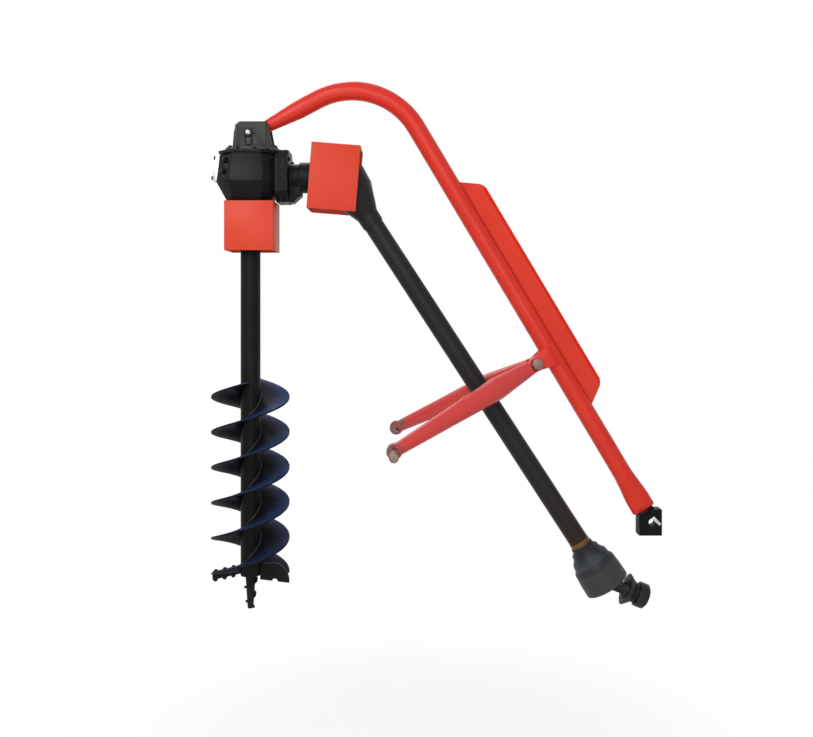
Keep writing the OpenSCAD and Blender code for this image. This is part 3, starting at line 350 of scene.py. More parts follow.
def round_edges(obj, radius, segments=2, angle=32, clamp=False, shade=38):
    """Round the sharp edges and shade the rest smooth"""
    bevel = obj.modifiers.new("round", "BEVEL")
    bevel.width = radius
    bevel.segments = segments
    bevel.limit_method = "ANGLE"
    bevel.angle_limit = math.radians(angle)
    bevel.use_clamp_overlap = clamp
    apply_modifiers(obj)
    shade_by_angle(obj, shade)
    mark_edges(obj, radius)


def mark_edges(obj, radius):
    """Write how sharply a rounded edge bends outwards at each vertex, for the wear along edges"""
    spots = [vertex.co for vertex in obj.data.vertices]
    sides = {}
    broad = set()
    for polygon in obj.data.polygons:
        outline = sum((spots[a] - spots[b]).length for a, b in polygon.edge_keys)
        if 2 * polygon.area > outline * radius * STRIP_WIDTH:
            broad.update(polygon.vertices)
        for key in polygon.edge_keys:
            sides.setdefault(key, []).append(polygon)
    bends = [0.0] * len(spots)
    for key, pair in sides.items():
        if len(pair) != 2 or (pair[1].center - pair[0].center).dot(pair[0].normal) >= 0:
            continue
        bend = math.degrees(pair[0].normal.angle(pair[1].normal, 0.0))
        for index in key:
            if index not in broad:
                bends[index] = max(bends[index], bend)
    shares = [min(1.0, max(0.0, (bend - BEND_FROM) / (BEND_TO - BEND_FROM))) for bend in bends]
    layer = obj.data.attributes.new(EDGE_LAYER, "FLOAT", "POINT")
    layer.data.foreach_set("value", shares)


def deselect_mesh(obj):
    """In object mode, leave none of a mesh selected"""
    for parts in (obj.data.polygons, obj.data.edges, obj.data.vertices):
        for part in parts:
            part.select = False


def select_where(obj, test):
    """Go to edit mode with the vertices selected that pass a test on their place"""
    to_object_mode()
    deselect_mesh(obj)
    for vertex in obj.data.vertices:
        vertex.select = test(vertex.co)
    to_edit_mode()
    bpy.ops.mesh.select_mode(type="VERT")


def select_top(obj):
    """Go to edit mode with the highest flat face selected"""
    to_object_mode()
    deselect_mesh(obj)
    top = max(polygon.center.z for polygon in obj.data.polygons)
    for polygon in obj.data.polygons:
        polygon.select = abs(polygon.center.z - top) < 1e-6
    to_edit_mode()
    bpy.ops.mesh.select_mode(type="FACE")


def extrude_up(rise):
    """Extrude what is selected along the piece's local Z"""
    bpy.ops.mesh.extrude_region_move(TRANSFORM_OT_translate={"value": (0, 0, rise)})


def roughen(offset, seed):
    """Shift a mesh's vertices a little, the same way each run"""
    edit_all()
    bpy.ops.transform.vertex_random(offset=offset, seed=seed)
    to_object_mode()


def give(obj, material, body):
    """Finish a piece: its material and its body"""
    obj.data.materials.clear()
    obj.data.materials.append(material)
    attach(obj, body)
    return obj


def paint_node(node, material):
    """Give a CAD node its finish"""
    mesh = NODES[node].data
    mesh.materials.clear()
    mesh.materials.append(material)


def copy_of(node, name, flat=1.5):
    """A copy of a CAD node's mesh, merged and without its triangles' flat edges"""
    obj = bpy.data.objects.new(name, NODES[node].data.copy())
    bpy.context.scene.collection.objects.link(obj)
    select_only(obj)
    edit_all()
    bpy.ops.mesh.remove_doubles(threshold=CAD_MERGE)
    bpy.ops.mesh.dissolve_limited(angle_limit=math.radians(flat))
    to_object_mode()
    return obj


def stand_for(obj, node, material):
    """Give a piece the body and slot of the CAD node that it replaces"""
    give(obj, material, NODES[node]["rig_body"])
    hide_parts(node)
    return obj


def softened(node, radius, material, segments=2, **ways):
    """A copy of a CAD node with rounded edges, which stands for the node"""
    obj = copy_of(node, node + "_soft")
    round_edges(obj, radius, segments, **ways)
    return stand_for(obj, node, material)


def smoothed(node, material, angle):
    """A copy of a CAD node with smooth shading across its facets, which stands for the node"""
    obj = copy_of(node, node + "_smooth", 0.01)
    shade_by_angle(obj, angle)
    return stand_for(obj, node, material)


# Shader nodes


def feed(tree, socket, value):
    """Link an output to a socket, or set the socket's own value"""
    if isinstance(value, bpy.types.NodeSocket):
        tree.links.new(value, socket)
    else:
        socket.default_value = value


def add_node(tree, kind, inputs=None, **options):
    """A shader node with its options set and its inputs fed"""
    node = tree.nodes.new("ShaderNode" + kind)
    for option, value in options.items():
        setattr(node, option, value)
    for label, value in (inputs or {}).items():
        feed(tree, node.inputs[label], value)
    return node


def noise(tree, vector, scale, detail, **more):
    inputs = {"Vector": vector, "Scale": scale, "Detail": detail, **more}
    return add_node(tree, "TexNoise", inputs).outputs["Fac"]


def fade(tree, value, start, end, low=0.0, high=1.0, smooth=False):
    """A value that goes from low to high while another goes from start to end"""
    inputs = {"Value": value, "From Min": start, "From Max": end, "To Min": low, "To Max": high}
    step = "SMOOTHSTEP" if smooth else "LINEAR"
    return add_node(tree, "MapRange", inputs, interpolation_type=step).outputs["Result"]


def combine(tree, operation, *values):
    """One step of arithmetic"""
    return add_node(tree, "Math", dict(enumerate(values)), operation=operation).outputs["Value"]


def combine_vectors(tree, operation, *values, output="Vector"):
    """One step of vector arithmetic"""
    return add_node(tree, "VectorMath", dict(enumerate(values)), operation=operation).outputs[output]


def new_group(name, outputs, **inputs):
    """A shader node group: its tree, what it is given and what it puts out"""
    tree = bpy.data.node_groups.new(name, "ShaderNodeTree")
    for label, default in inputs.items():
        kind = "NodeSocketVector" if isinstance(default, tuple) else "NodeSocketFloat"
        socket = tree.interface.new_socket(name=label, in_out="INPUT", socket_type=kind)
        socket.default_value = default
    for label in outputs:
        tree.interface.new_socket(name=label, in_out="OUTPUT", socket_type="NodeSocketFloat")
    source = tree.nodes.new("NodeGroupInput")
    sink = tree.nodes.new("NodeGroupOutput")
    return tree, source.outputs, sink.inputs


@functools.cache
def scuff_group():
    """Small rubs and chips: a mask that is mostly clear, and a broad mottle"""
    tree, given, result = new_group("Scuffs", ("Mask", "Mottle"), Vector=(0, 0, 0), Scale=40.0, Amount=0.3)
    fine = noise(tree, given["Vector"], given["Scale"], 8.0, Roughness=0.68, Distortion=0.6)
    chips = fade(tree, fine, 0.63, 0.71)
    feed(tree, result["Mask"], combine(tree, "MULTIPLY", chips, given["Amount"]))
    feed(tree, result["Mottle"], noise(tree, given["Vector"], 6.0, 4.0))
    return tree


@functools.cache
def grain_group():
    """Surface grain for bumps: fine noise over a slow wave"""
    tree, given, result = new_group("Grain", ("Height",), Vector=(0, 0, 0), Scale=400.0, Wave=0.3)
    fine = noise(tree, given["Vector"], given["Scale"], 3.0)
    slow = noise(tree, given["Vector"], 30.0, 2.0)
    both = add_node(tree, "Mix", {"Factor": given["Wave"], "A": fine, "B": slow}, data_type="FLOAT")
    feed(tree, result["Height"], both.outputs["Result"])
    return tree


@functools.cache
def ramp_group():
    """A mask that grows along a direction in the piece's own space, with a ragged edge"""
    tree, given, result = new_group(
        "Ramp along", ("Mask",), Vector=(0, 0, 0), Direction=(0, 0, 1), Start=0.0, End=1.0, Ragged=0.12
    )
    along = combine_vectors(tree, "DOT_PRODUCT", given["Vector"], given["Direction"], output="Value")
    uneven = noise(tree, given["Vector"], 18.0, 5.0)
    shifted = combine(tree, "MULTIPLY_ADD", uneven, given["Ragged"], along)
    feed(tree, result["Mask"], fade(tree, shifted, given["Start"], given["End"], smooth=True))
    return tree


@functools.cache
def wear_group():
    """Paint rubbed off along edges, in patches"""
    tree, given, result = new_group("Edge wear", ("Mask",), Vector=(0, 0, 0), Edge=0.0, Amount=0.5)
    patches = fade(tree, noise(tree, given["Vector"], 60.0, 6.0), 0.40, 0.60)
    along = combine(tree, "MULTIPLY", patches, given["Edge"])
    feed(tree, result["Mask"], combine(tree, "MULTIPLY", along, given["Amount"]))
    return tree


@functools.cache
def sky_sheen_group():
    """A mask for upward faces that lie away from an upright axis, where a painted sky reflection goes"""
    tree, given, result = new_group(
        "Upper rim", ("Mask",), Vector=(0, 0, 0), Normal=(0, 0, 1), Centre=(0, 0, 0), Start=0.0, End=1.0
    )
    offset = combine_vectors(tree, "SUBTRACT", given["Vector"], given["Centre"])
    level = combine_vectors(tree, "MULTIPLY", offset, (1.0, 1.0, 0.0))
    reach = combine_vectors(tree, "LENGTH", level, output="Value")
    outward = fade(tree, reach, given["Start"], given["End"], smooth=True)
    height = add_node(tree, "SeparateXYZ", {"Vector": given["Normal"]}).outputs["Z"]
    upward = fade(tree, height, 0.0, 0.6)
    feed(tree, result["Mask"], combine(tree, "MULTIPLY", outward, upward))
    return tree


def shade_of(colour, factor):
    return tuple(min(1.0, c * factor) for c in colour)


def opaque(colour):
    return (*colour, 1.0)


class Finish:
    """A material under construction: a Principled shader with a mottled, scuffed colour and a grain"""

    def __init__(self, name, colour, shade, rough, metallic=0.0):
        self.material = bpy.data.materials.new(name)
        self.material.use_nodes = True
        self.tree = self.material.node_tree
        self.shader = self.tree.nodes["Principled BSDF"]
        self.set("Metallic", metallic)
        self.coords = add_node(self.tree, "TexCoord").outputs
        self.scuffs = self.effect(scuff_group())
        mottle = self.scuffs.outputs["Mottle"]
        self.colour = self.mix(mottle, opaque(colour), opaque(shade_of(colour, shade)))
        self.set("Roughness", fade(self.tree, mottle, 0.3, 0.7, *rough))

    def set(self, label, value):
        """Feed a socket of the shader"""
        feed(self.tree, self.shader.inputs[label], value)
        return self

    def effect(self, group, **inputs):
        """A node group on the piece's own coordinates"""
        inputs["Vector"] = self.coords["Object"]
        return add_node(self.tree, "Group", inputs, node_tree=group)

    def mix(self, mask, first, second):
        """Two colours mixed by a mask"""
        return add_node(self.tree, "Mix", {"Factor": mask, 6: first, 7: second}, data_type="RGBA").outputs[2]

    def tint(self, group, colour):
        """Lay a colour over the colour so far by a group's mask"""
        self.colour = self.mix(group.outputs["Mask"], self.colour, opaque(colour))
        return self

    def scuff(self, colour, scale, amount):
        feed(self.tree, self.scuffs.inputs["Scale"], scale)
        feed(self.tree, self.scuffs.inputs["Amount"], amount)
        return self.tint(self.scuffs, colour)

    def stain(self, colour, direction, start, end, ragged=0.12):
        """Tint that grows along a direction, such as soil at a tip"""
        ramp = self.effect(ramp_group(), Direction=direction, Start=start, End=end, Ragged=ragged)
        return self.tint(ramp, colour)

    def wear(self, colour, amount):
        """Rubbed paint along the edges that mark_edges wrote"""
        edge = add_node(self.tree, "Attribute", attribute_name=EDGE_LAYER).outputs["Fac"]
        return self.tint(self.effect(wear_group(), Edge=edge, Amount=amount), colour)

    def rim(self, colour, centre, start, end):
        """Painted sky reflection: tint on upward faces that grows away from an upright axis"""
        normal = self.coords["Normal"]
        return self.tint(self.effect(sky_sheen_group(), Normal=normal, Centre=centre, Start=start, End=end), colour)

    def grain(self, scale, depth, wave=0.3):
        """Bumps of a depth in metres"""
        height = self.effect(grain_group(), Scale=scale, Wave=wave).outputs["Height"]
        bump = add_node(self.tree, "Bump", {"Strength": 0.35, "Distance": depth, "Height": height})
        return self.set("Normal", bump.outputs["Normal"])

    def gloss(self, level):
        """Strength of the surface's own reflections"""
        return self.set("Specular IOR Level", level)

    def coat(self, weight, rough):
        return self.set("Coat Weight", weight).set("Coat Roughness", rough)

    def done(self):
        return self.set("Base Color", self.colour).material


# Finishes, each made the first time it is asked for


def enamel(name, colour, rough=(0.30, 0.46)):
    """Sprayed enamel: a slow mottle, small dark chips and a light orange-peel"""
    made = Finish(name, colour, shade=0.80, rough=rough)
    made.scuff(shade_of(colour, 0.35), scale=55.0, amount=0.34).wear((0.20, 0.045, 0.030), amount=0.65)
    return made.grain(120.0, depth=0.0010, wave=0.6).gloss(0.26).coat(weight=0.05, rough=0.20)


@functools.cache
def boom_enamel():
    return enamel("boom enamel", colours().boom).done()


# A lighter copy of the boom's enamel: painted light on the fin's flat face
@functools.cache
def fin_lit_enamel():
    return enamel("fin enamel", colours().fin).done()


@functools.cache
def yoke_enamel():
    eye = EYE_AT.dot(ARM_ALONG)
    made = enamel("yoke enamel", colours().yoke)
    return made.stain(colours().faded, ARM_ALONG, start=eye + 0.005, end=eye + 0.075).done()


@functools.cache
def guard_enamel():
    return enamel("guard enamel", colours().guard, rough=(0.46, 0.58)).done()


@functools.cache
def casting_black():
    made = Finish("casting black", colours().casting, shade=0.7, rough=(0.34, 0.50))
    made.scuff((0.06, 0.06, 0.07), scale=70.0, amount=0.22).wear((0.060, 0.060, 0.065), amount=0.70)
    return made.grain(260.0, depth=0.0012, wave=0.35).gloss(0.10).done()


@functools.cache
def hanger_black():
    made = Finish("hanger black", colours().hanger, shade=1.6, rough=(0.42, 0.58))
    made.scuff((0.09, 0.085, 0.075), scale=60.0, amount=0.35).wear((0.090, 0.086, 0.080), amount=0.70)
    return made.grain(200.0, depth=0.0014, wave=0.4).gloss(0.25).done()


@functools.cache
def auger_black():
    made = Finish("auger black", colours().auger, shade=0.7, rough=(0.36, 0.52))
    made.scuff((0.06, 0.056, 0.055), scale=60.0, amount=0.26).wear((0.110, 0.105, 0.100), amount=0.80)
    made.stain((0.018, 0.015, 0.013), -UPRIGHT, start=0.16, end=0.34)
    return made.grain(180.0, depth=0.0008, wave=0.5).gloss(0.08).done()


@functools.cache
def weld_bead():
    made = Finish("weld bead", colours().bead, shade=0.6, rough=(0.38, 0.55))
    made.scuff((0.09, 0.085, 0.08), scale=120.0, amount=0.45)
    return made.grain(300.0, depth=0.0010).gloss(0.3).done()


@functools.cache
def flight_black():
    made = Finish("flight black", colours().flight, shade=0.6, rough=(0.46, 0.60))
    # Painted sky reflection: blue on the upper faces towards the flights' outer edge
    made.rim(colours().rim, GEAR_CENTRE, start=TUBE_RADIUS + 0.026, end=FLIGHT_RADIUS - 0.006)
    made.scuff((0.05, 0.052, 0.06), scale=45.0, amount=0.22)
    made.stain((0.009, 0.009, 0.012), -UPRIGHT, start=-0.06, end=0.36)
    return made.grain(140.0, depth=0.0008, wave=0.6).gloss(0.06).done()


@functools.cache
def block_black():
    made = Finish("block black", shade_of(colours().casting, 0.9), shade=0.7, rough=(0.40, 0.58))
    made.scuff((0.08, 0.08, 0.08), scale=90.0, amount=0.35).wear((0.080, 0.080, 0.082), amount=0.70)
    return made.grain(240.0, depth=0.0008).gloss(0.08).done()


@functools.cache
def shield_plastic():
    joint = LOWER_JOINT.dot(DRIVE_AXIS)
    made = Finish("shield plastic", colours().shield, shade=0.75, rough=(0.38, 0.52))
    made.scuff((0.05, 0.045, 0.042), scale=80.0, amount=0.30)
    made.stain(colours().mud, DRIVE_AXIS, start=joint - 0.30, end=joint - 0.02)
    return made.grain(520.0, depth=0.0004, wave=0.2).gloss(0.16).done()


@functools.cache
def bell_plastic():
    joint = LOWER_JOINT.dot(DRIVE_AXIS)
    step = joint - 0.060
    neck = 0.135 - joint
    made = Finish("bell plastic", colours().bell, shade=0.62, rough=(0.42, 0.60))
    made.scuff((0.13, 0.14, 0.15), scale=75.0, amount=0.30).wear((0.110, 0.118, 0.130), amount=0.50)
    # Painted shade: a dark band in the groove at the bell's step
    made.stain((0.026, 0.027, 0.027), DRIVE_AXIS, start=step - 0.014, end=step - 0.004, ragged=0.016)
    # Below the step the skirt turns a darker neutral grey
    made.stain(colours().skirt, DRIVE_AXIS, start=step + 0.006, end=step + 0.018, ragged=0.016)
    # Painted shade: darker towards the bell's neck by the bearing ring
    made.stain((0.014, 0.014, 0.016), -DRIVE_AXIS, start=neck - 0.005, end=neck + 0.055)
    return made.grain(480.0, depth=0.0005, wave=0.2).gloss(0.16).done()


@functools.cache
def ring_plastic():
    made = Finish("ring plastic", colours().ring, shade=0.45, rough=(0.38, 0.55))
    made.scuff((0.05, 0.03, 0.012), scale=70.0, amount=0.55)
    return made.grain(520.0, depth=0.0004).gloss(0.3).done()


@functools.cache
def zinc_plate():
    made = Finish("zinc plate", colours().zinc, shade=0.75, rough=(0.26, 0.42), metallic=1.0)
    made.scuff((0.25, 0.22, 0.18), scale=110.0, amount=0.35)
    return made.grain(420.0, depth=0.0003).done()


@functools.cache
def worn_steel():
    made = Finish("worn steel", colours().worn, shade=0.70, rough=(0.40, 0.58), metallic=0.6)
    made.scuff((0.16, 0.07, 0.04), scale=60.0, amount=0.55)
    return made.grain(300.0, depth=0.0006).done()


@functools.cache
def machined_steel():
    grey = shade_of(colours().zinc, 0.7)
    made = Finish("machined steel", grey, shade=0.80, rough=(0.22, 0.36), metallic=1.0)
    made.scuff((0.12, 0.09, 0.06), scale=90.0, amount=0.30)
    return made.grain(600.0, depth=0.0003).done()


@functools.cache
def forged_steel():
    made = Finish("forged steel", (0.010, 0.010, 0.012), shade=1.5, rough=(0.36, 0.54))
    made.scuff((0.09, 0.07, 0.06), scale=70.0, amount=0.35).wear((0.110, 0.100, 0.095), amount=0.70)
    return made.grain(220.0, depth=0.0012).gloss(0.2).done()


@functools.cache
def seal_rubber():
    made = Finish("seal rubber", (0.018, 0.018, 0.018), shade=1.4, rough=(0.55, 0.70))
    made.scuff((0.05, 0.05, 0.05), scale=90.0, amount=0.30)
    return made.grain(420.0, depth=0.0004).done()


# CAD nodes of each finish
NODE_FINISHES = {
    boom_enamel: ("boom_tube", "boom_bend", "boom_tail", "boom_nose", "boom_rear_bush", "yoke_lugs"),
    fin_lit_enamel: ("boom_fin",),
    yoke_enamel: ("yoke_head", "yoke_arm_left", "yoke_arm_right"),
    guard_enamel: ("input_guard", "output_guard"),
    casting_black: ("gearbox_case", "gearbox_lid", "input_housing", "oil_plugs"),
    hanger_black: ("boom_clevis",),
    auger_black: ("auger_tube", "auger_collar", "cutter_bar", "cutter_blade", "pilot_point"),
    flight_black: ("auger_flight_a", "auger_flight_b"),
    block_black: ("hitch_block", "boom_tongue", "hitch_bolts", "housing_bolts"),
    shield_plastic: ("upper_bell", "outer_shield_tube", "inner_shield_tube"),
    bell_plastic: ("lower_bell",),
    ring_plastic: ("lower_shield_ring", "upper_shield_ring"),
    zinc_plate: ("hitch_clip", "guard_bolts", "auger_bolts", "side_cover"),
    worn_steel: ("lower_link_pin_left", "lower_link_pin_right", "yoke_pivot_pin"),
    machined_steel: (
        "output_shaft", "crown_gear", "output_bearing_cones", "input_shaft", "pinion_gear",
        "input_bearing_cones", "bearing_cups", "input_joint_cross", "lower_cross", "outer_drive_tube",
        "inner_drive_bar"
    ),
    forged_steel: ("boom_pin", "input_yoke", "upper_yoke", "lower_yoke", "tractor_yoke", "locking_collar"),
    seal_rubber: ("shaft_seals",),
}


class EARTHAUGER_OT_paint(bpy.types.Operator):
    """Give every CAD node its finish"""

    bl_idname = "earthauger.paint"
    bl_label = "Paint the frame"

    def execute(self, context):
        for make, nodes in NODE_FINISHES.items():
            for node in nodes:
                paint_node(node, make())
        return {"FINISHED"}


# Boom


def on_boom(distance, above=0.0, across=0.0):
    """A point on the boom: distance from the bore, height over the pipe's axis and place across it"""
    return BOOM_ALONG * distance + BOOM_ABOVE * above + ACROSS * across


def along_boom(node):
    """Where a CAD node's corners lie along the boom"""
    return [vertex.co.dot(BOOM_ALONG) for vertex in NODES[node].data.vertices]


def draw_section(before, now):
    """Extrude the selected end to the next section and scale it there"""
    extrude_up(now[0] - before[0])
    scale = (now[1] / before[1], now[2] / before[2], 1.0)
    bpy.ops.transform.resize(value=scale, center_override=(0.0, 0.0, now[0]))


def pressed_nose():
    """The pipe's front end: a ring drawn out section by section until it is flat, with an open mouth"""
    wide = sizes().nose_wide
    thin = sizes().nose_thin
    run = sizes().nose_from - min(along_boom("boom_nose"))
    start_clear()
    bpy.ops.mesh.primitive_circle_add(vertices=64, radius=PIPE_RADIUS, fill_type="NGON")
    obj = name_new("boom_nose_pressed")
    edit_all()
    before = (0.0, PIPE_RADIUS, PIPE_RADIUS)
    for share, flat in NOSE_SECTIONS:
        half_wide = PIPE_RADIUS + (wide - PIPE_RADIUS) * flat
        half_thin = PIPE_RADIUS + (thin - PIPE_RADIUS) * flat
        now = (share * run, half_wide, half_thin)
        draw_section(before, now)
        before = now
    draw_section(before, (run, wide - NOSE_LIP, thin - NOSE_LIP))
    bpy.ops.mesh.inset(thickness=NOSE_WALL)
    extrude_up(-NOSE_MOUTH)
    bpy.ops.mesh.select_all(action="SELECT")
    bpy.ops.mesh.fill_holes(sides=0)
    bpy.ops.mesh.normals_make_consistent(inside=False)
    to_object_mode()
    place(obj, frame_at(on_boom(sizes().nose_from + NOSE_OVERLAP), -BOOM_ALONG))
    shade_by_angle(obj, 42)
    return stand_for(obj, "boom_nose", boom_enamel())


def rounded_fin():
    """The fin: its plate with the outer corners rounded and the edges eased"""
    obj = copy_of("boom_fin", "boom_fin_soft")
    select_where(obj, lambda spot: spot.dot(BOOM_ABOVE) > PIPE_RADIUS + FIN_ABOVE)
    to_object_mode()
    spots = obj.data.vertices
    for edge in obj.data.edges:
        start, end = (spots[index] for index in edge.vertices)
        way = (end.co - start.co).normalized()
        edge.select = start.select and end.select and abs(way.y) > 0.99
    to_edit_mode()
    bpy.ops.mesh.select_mode(type="EDGE")
    bpy.ops.mesh.bevel(offset=sizes().fin_corner, segments=5, affect="EDGES")
    to_object_mode()
    round_edges(obj, sizes().plate_round)
    return stand_for(obj, "boom_fin", fin_lit_enamel())


def weld_line(name, start, end, radius):
    """A straight weld on the boom: one flattened drop, repeated along the seam"""
    step = radius * DROP_STEP
    run = end - start
    start_clear()
    bpy.ops.mesh.primitive_uv_sphere_add(segments=8, ring_count=5, radius=radius)
    obj = name_new(name)
    obj.scale = (1.0, 1.0, DROP_FLAT)
    select_only(obj)
    bpy.ops.object.transform_apply(scale=True)
    repeat = obj.modifiers.new("drops", "ARRAY")
    repeat.count = max(2, int(run.length / step))
    repeat.use_relative_offset = False
    repeat.use_constant_offset = True
    repeat.constant_offset_displace = (0.0, 0.0, step)
    apply_modifiers(obj)
    place(obj, frame_at(start, run))
    bpy.ops.object.shade_smooth()
    return give(obj, boom_enamel(), "boom")


def weld_fin(label, side):
    """Weld the fin to the pipe, along one side of its foot"""
    run = along_boom("boom_fin")
    fin_half = half_width("boom_fin")
    rise = math.sqrt(PIPE_RADIUS**2 - fin_half**2)
    seam = (fin_half + SEAM_GAP) * side
    start = on_boom(min(run) + FIN_WELD_INSET, rise, seam)
    end = on_boom(max(run) - FIN_WELD_INSET, rise, seam)
    weld_line("fin_weld_" + label, start, end, sizes().fin_weld)


def weld_lug(label, side):
    """Weld a lug of the yoke's pivot to the pipe, along its foot"""
    spots = [v.co for v in NODES["yoke_lugs"].data.vertices if v.co.y * side > 0]
    run = [spot.dot(BOOM_ALONG) for spot in spots]
    outer = max(abs(spot.y) for spot in spots)
    depth = -math.sqrt(max(PIPE_RADIUS**2 - outer**2, 0.0))
    start = on_boom(min(run) + LUG_WELD_INSET, depth, side * outer)
    end = on_boom(max(run) - LUG_WELD_INSET, depth, side * outer)
    weld_line("lug_weld_" + label, start, end, sizes().lug_weld)


class EARTHAUGER_OT_boom(bpy.types.Operator):
    """Press the boom's nose, round its plates and weld the fin and lugs to the pipe"""

    bl_idname = "earthauger.boom"
    bl_label = "Boom"

    def execute(self, context):
        pressed_nose()
        rounded_fin()
        for node in ("yoke_lugs", "boom_rear_bush"):
            softened(node, sizes().plate_round, boom_enamel())
        softened("hitch_block", sizes().plate_round * BLOCK_SHARE, block_black(), segments=3)
        softened("hitch_clip", sizes().plate_round, zinc_plate(), segments=3)
        for label, side in SIDES:
            weld_fin(label, side)
            weld_lug(label, side)
        return {"FINISHED"}


# Lift yoke and gearbox


def grease_nipple(name, foot, along, body, scale=1.0):
    """A grease nipple: a hexagon foot drawn up into a stem with a ball end"""
    start_clear()
    bpy.ops.mesh.primitive_cylinder_add(
        vertices=6, radius=NIPPLE_RADIUS, depth=NIPPLE_FOOT, location=(0, 0, NIPPLE_FOOT / 2)
    )
    obj = name_new(name)
    for inset, rise in NIPPLE_STEPS:
        select_top(obj)
        bpy.ops.mesh.inset(thickness=abs(inset), use_outset=inset < 0)
        extrude_up(rise)
    to_object_mode()
    round_edges(obj, NIPPLE_ROUND)
    place(obj, frame_at(foot, along, BOOM_ALONG) @ Matrix.Scale(scale, 4))
    return give(obj, zinc_plate(), body)


def keeper_ring(name, hung_from, body):
    """A wire ring that hangs from a hole in a pin's end: a torus drawn out to an oval"""
    start_clear()
    bpy.ops.mesh.primitive_torus_add(
        major_radius=RING_RADIUS, minor_radius=RING_WIRE, major_segments=40, minor_segments=10
    )
    obj = name_new(name)
    select_where(obj, lambda spot: spot.y < -0.0001)
    bpy.ops.transform.translate(value=(0.0, -RING_DRAWN, 0.0))
    to_object_mode()
    turned_up = Matrix.Rotation(math.radians(90), 4, "X")
    place(obj, Matrix.Translation(hung_from) @ turned_up @ Matrix.Translation((0.0, -RING_HANG, 0.0)))
    bpy.ops.object.shade_smooth()
    return give(obj, forged_steel(), body)


class EARTHAUGER_OT_yoke(bpy.types.Operator):
    """Smooth the lift yoke's swelled arms, and round its head and the hitch pins"""

    bl_idname = "earthauger.yoke"
    bl_label = "Lift yoke"

    def execute(self, context):
        softened("yoke_head", sizes().plate_round, yoke_enamel())
        softened("yoke_pivot_pin", sizes().bolt_round, worn_steel())
        for label in ("left", "right"):
            smoothed("yoke_arm_" + label, yoke_enamel(), 40)
            softened("lower_link_pin_" + label, sizes().plate_round * PIN_SHARE, worn_steel(), segments=3)
        grease_nipple("yoke_nipple", YOKE_PIN - BOOM_ABOVE * YOKE_NIPPLE_AT, -BOOM_ABOVE, "lift_yoke")
        return {"FINISHED"}


class EARTHAUGER_OT_castings(bpy.types.Operator):
    """Round the gearbox castings, the clevis, the bright cover and the bolts"""

    bl_idname = "earthauger.castings"
    bl_label = "Gearbox castings"

    def execute(self, context):
        for node in ("gearbox_case", "gearbox_lid", "input_housing"):
            softened(node, sizes().casting_round, casting_black(), segments=3)
        softened("boom_clevis", sizes().casting_round * CLEVIS_SHARE, hanger_black(), clamp=True)
        softened("side_cover", sizes().plate_round, zinc_plate())
        softened("guard_bolts", sizes().bolt_round, zinc_plate(), segments=1)
        softened("housing_bolts", sizes().bolt_round, block_black(), segments=1)
        softened("boom_pin", sizes().bolt_round, forged_steel())
        softened("oil_plugs", sizes().bolt_round, casting_black())
        carrier = NODES["boom_pin"]["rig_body"]
        for label, side in SIDES:
            outward = ACROSS * side
            end = BOOM_PIN + outward * half_width("boom_pin")
            grease_nipple("pin_nipple_" + label, end, outward, carrier, PIN_NIPPLE_SCALE)
            keeper_ring("pin_keeper_" + label, end - outward * RING_INSIDE, carrier)
        return {"FINISHED"}


class EARTHAUGER_OT_guards(bpy.types.Operator):
    """Round the folded edges of the two sheet guards"""

    bl_idname = "earthauger.guards"
    bl_label = "Guards"

    def execute(self, context):
        for node in ("input_guard", "output_guard"):
            softened(node, sizes().sheet_round, guard_enamel())
        return {"FINISHED"}


# Auger


def wind(obj, steps):
    """Wind a profile up the auger's axis along one start of the flighting"""
    rise = FLIGHT_HEIGHT + sizes().flight_thick
    screw = obj.modifiers.new("wind", "SCREW")
    screw.axis = "Z"
    screw.angle = 2 * math.pi * rise / sizes().flight_pitch
    screw.screw_offset = rise
    screw.steps = steps
    screw.render_steps = steps
    apply_modifiers(obj)
    edit_all()
    bpy.ops.mesh.remove_doubles(threshold=WOUND_MERGE)
    bpy.ops.mesh.fill_holes(sides=0)
    bpy.ops.mesh.select_all(action="SELECT")
    bpy.ops.mesh.normals_make_consistent(inside=False)
    to_object_mode()


def trim_flat(obj):
    """Cut a wound piece flat at the flights' foot and top"""
    for height, facing in ((TRIM_INSIDE, 1), (FLIGHT_HEIGHT - TRIM_INSIDE, -1)):
        edit_all()
        bpy.ops.mesh.bisect(
            plane_co=(0, 0, height), plane_no=(0, 0, facing), clear_inner=True, use_fill=False
        )
        bpy.ops.mesh.select_all(action="SELECT")
        bpy.ops.mesh.remove_doubles(threshold=TRIM_MERGE)
        bpy.ops.mesh.fill_holes(sides=0)
    to_object_mode()


def on_auger(obj, bearing):
    """Stand a wound piece at the flights' foot, turned to its bearing"""
    foot = Matrix.Translation((GEAR_CENTRE.x, GEAR_CENTRE.y, FLIGHT_FOOT))
    place(obj, foot @ Matrix.Rotation(bearing, 4, "Z"))


def flight(node, bearing):
    """One flight: a thin blade wound round the tube, with eased edges"""
    thick = sizes().flight_thick
    width = FLIGHT_RADIUS - TUBE_RADIUS + BLADE_OVERLAP
    start_clear()
    bpy.ops.mesh.primitive_plane_add(size=1.0, rotation=(math.radians(90), 0, 0))
    obj = name_new(node + "_wound")
    obj.scale = (width, thick, 1.0)
    obj.location = (FLIGHT_RADIUS - width / 2, 0.0, -thick / 2)
    bpy.ops.object.transform_apply(location=True, rotation=True, scale=True)
    edit_all()
    bpy.ops.mesh.bevel(offset=thick * BLADE_EASE, segments=2, affect="VERTICES")
    to_object_mode()
    wind(obj, BLADE_STEPS)
    trim_flat(obj)
    on_auger(obj, bearing)
    shade_by_angle(obj, 50)
    return stand_for(obj, node, flight_black())


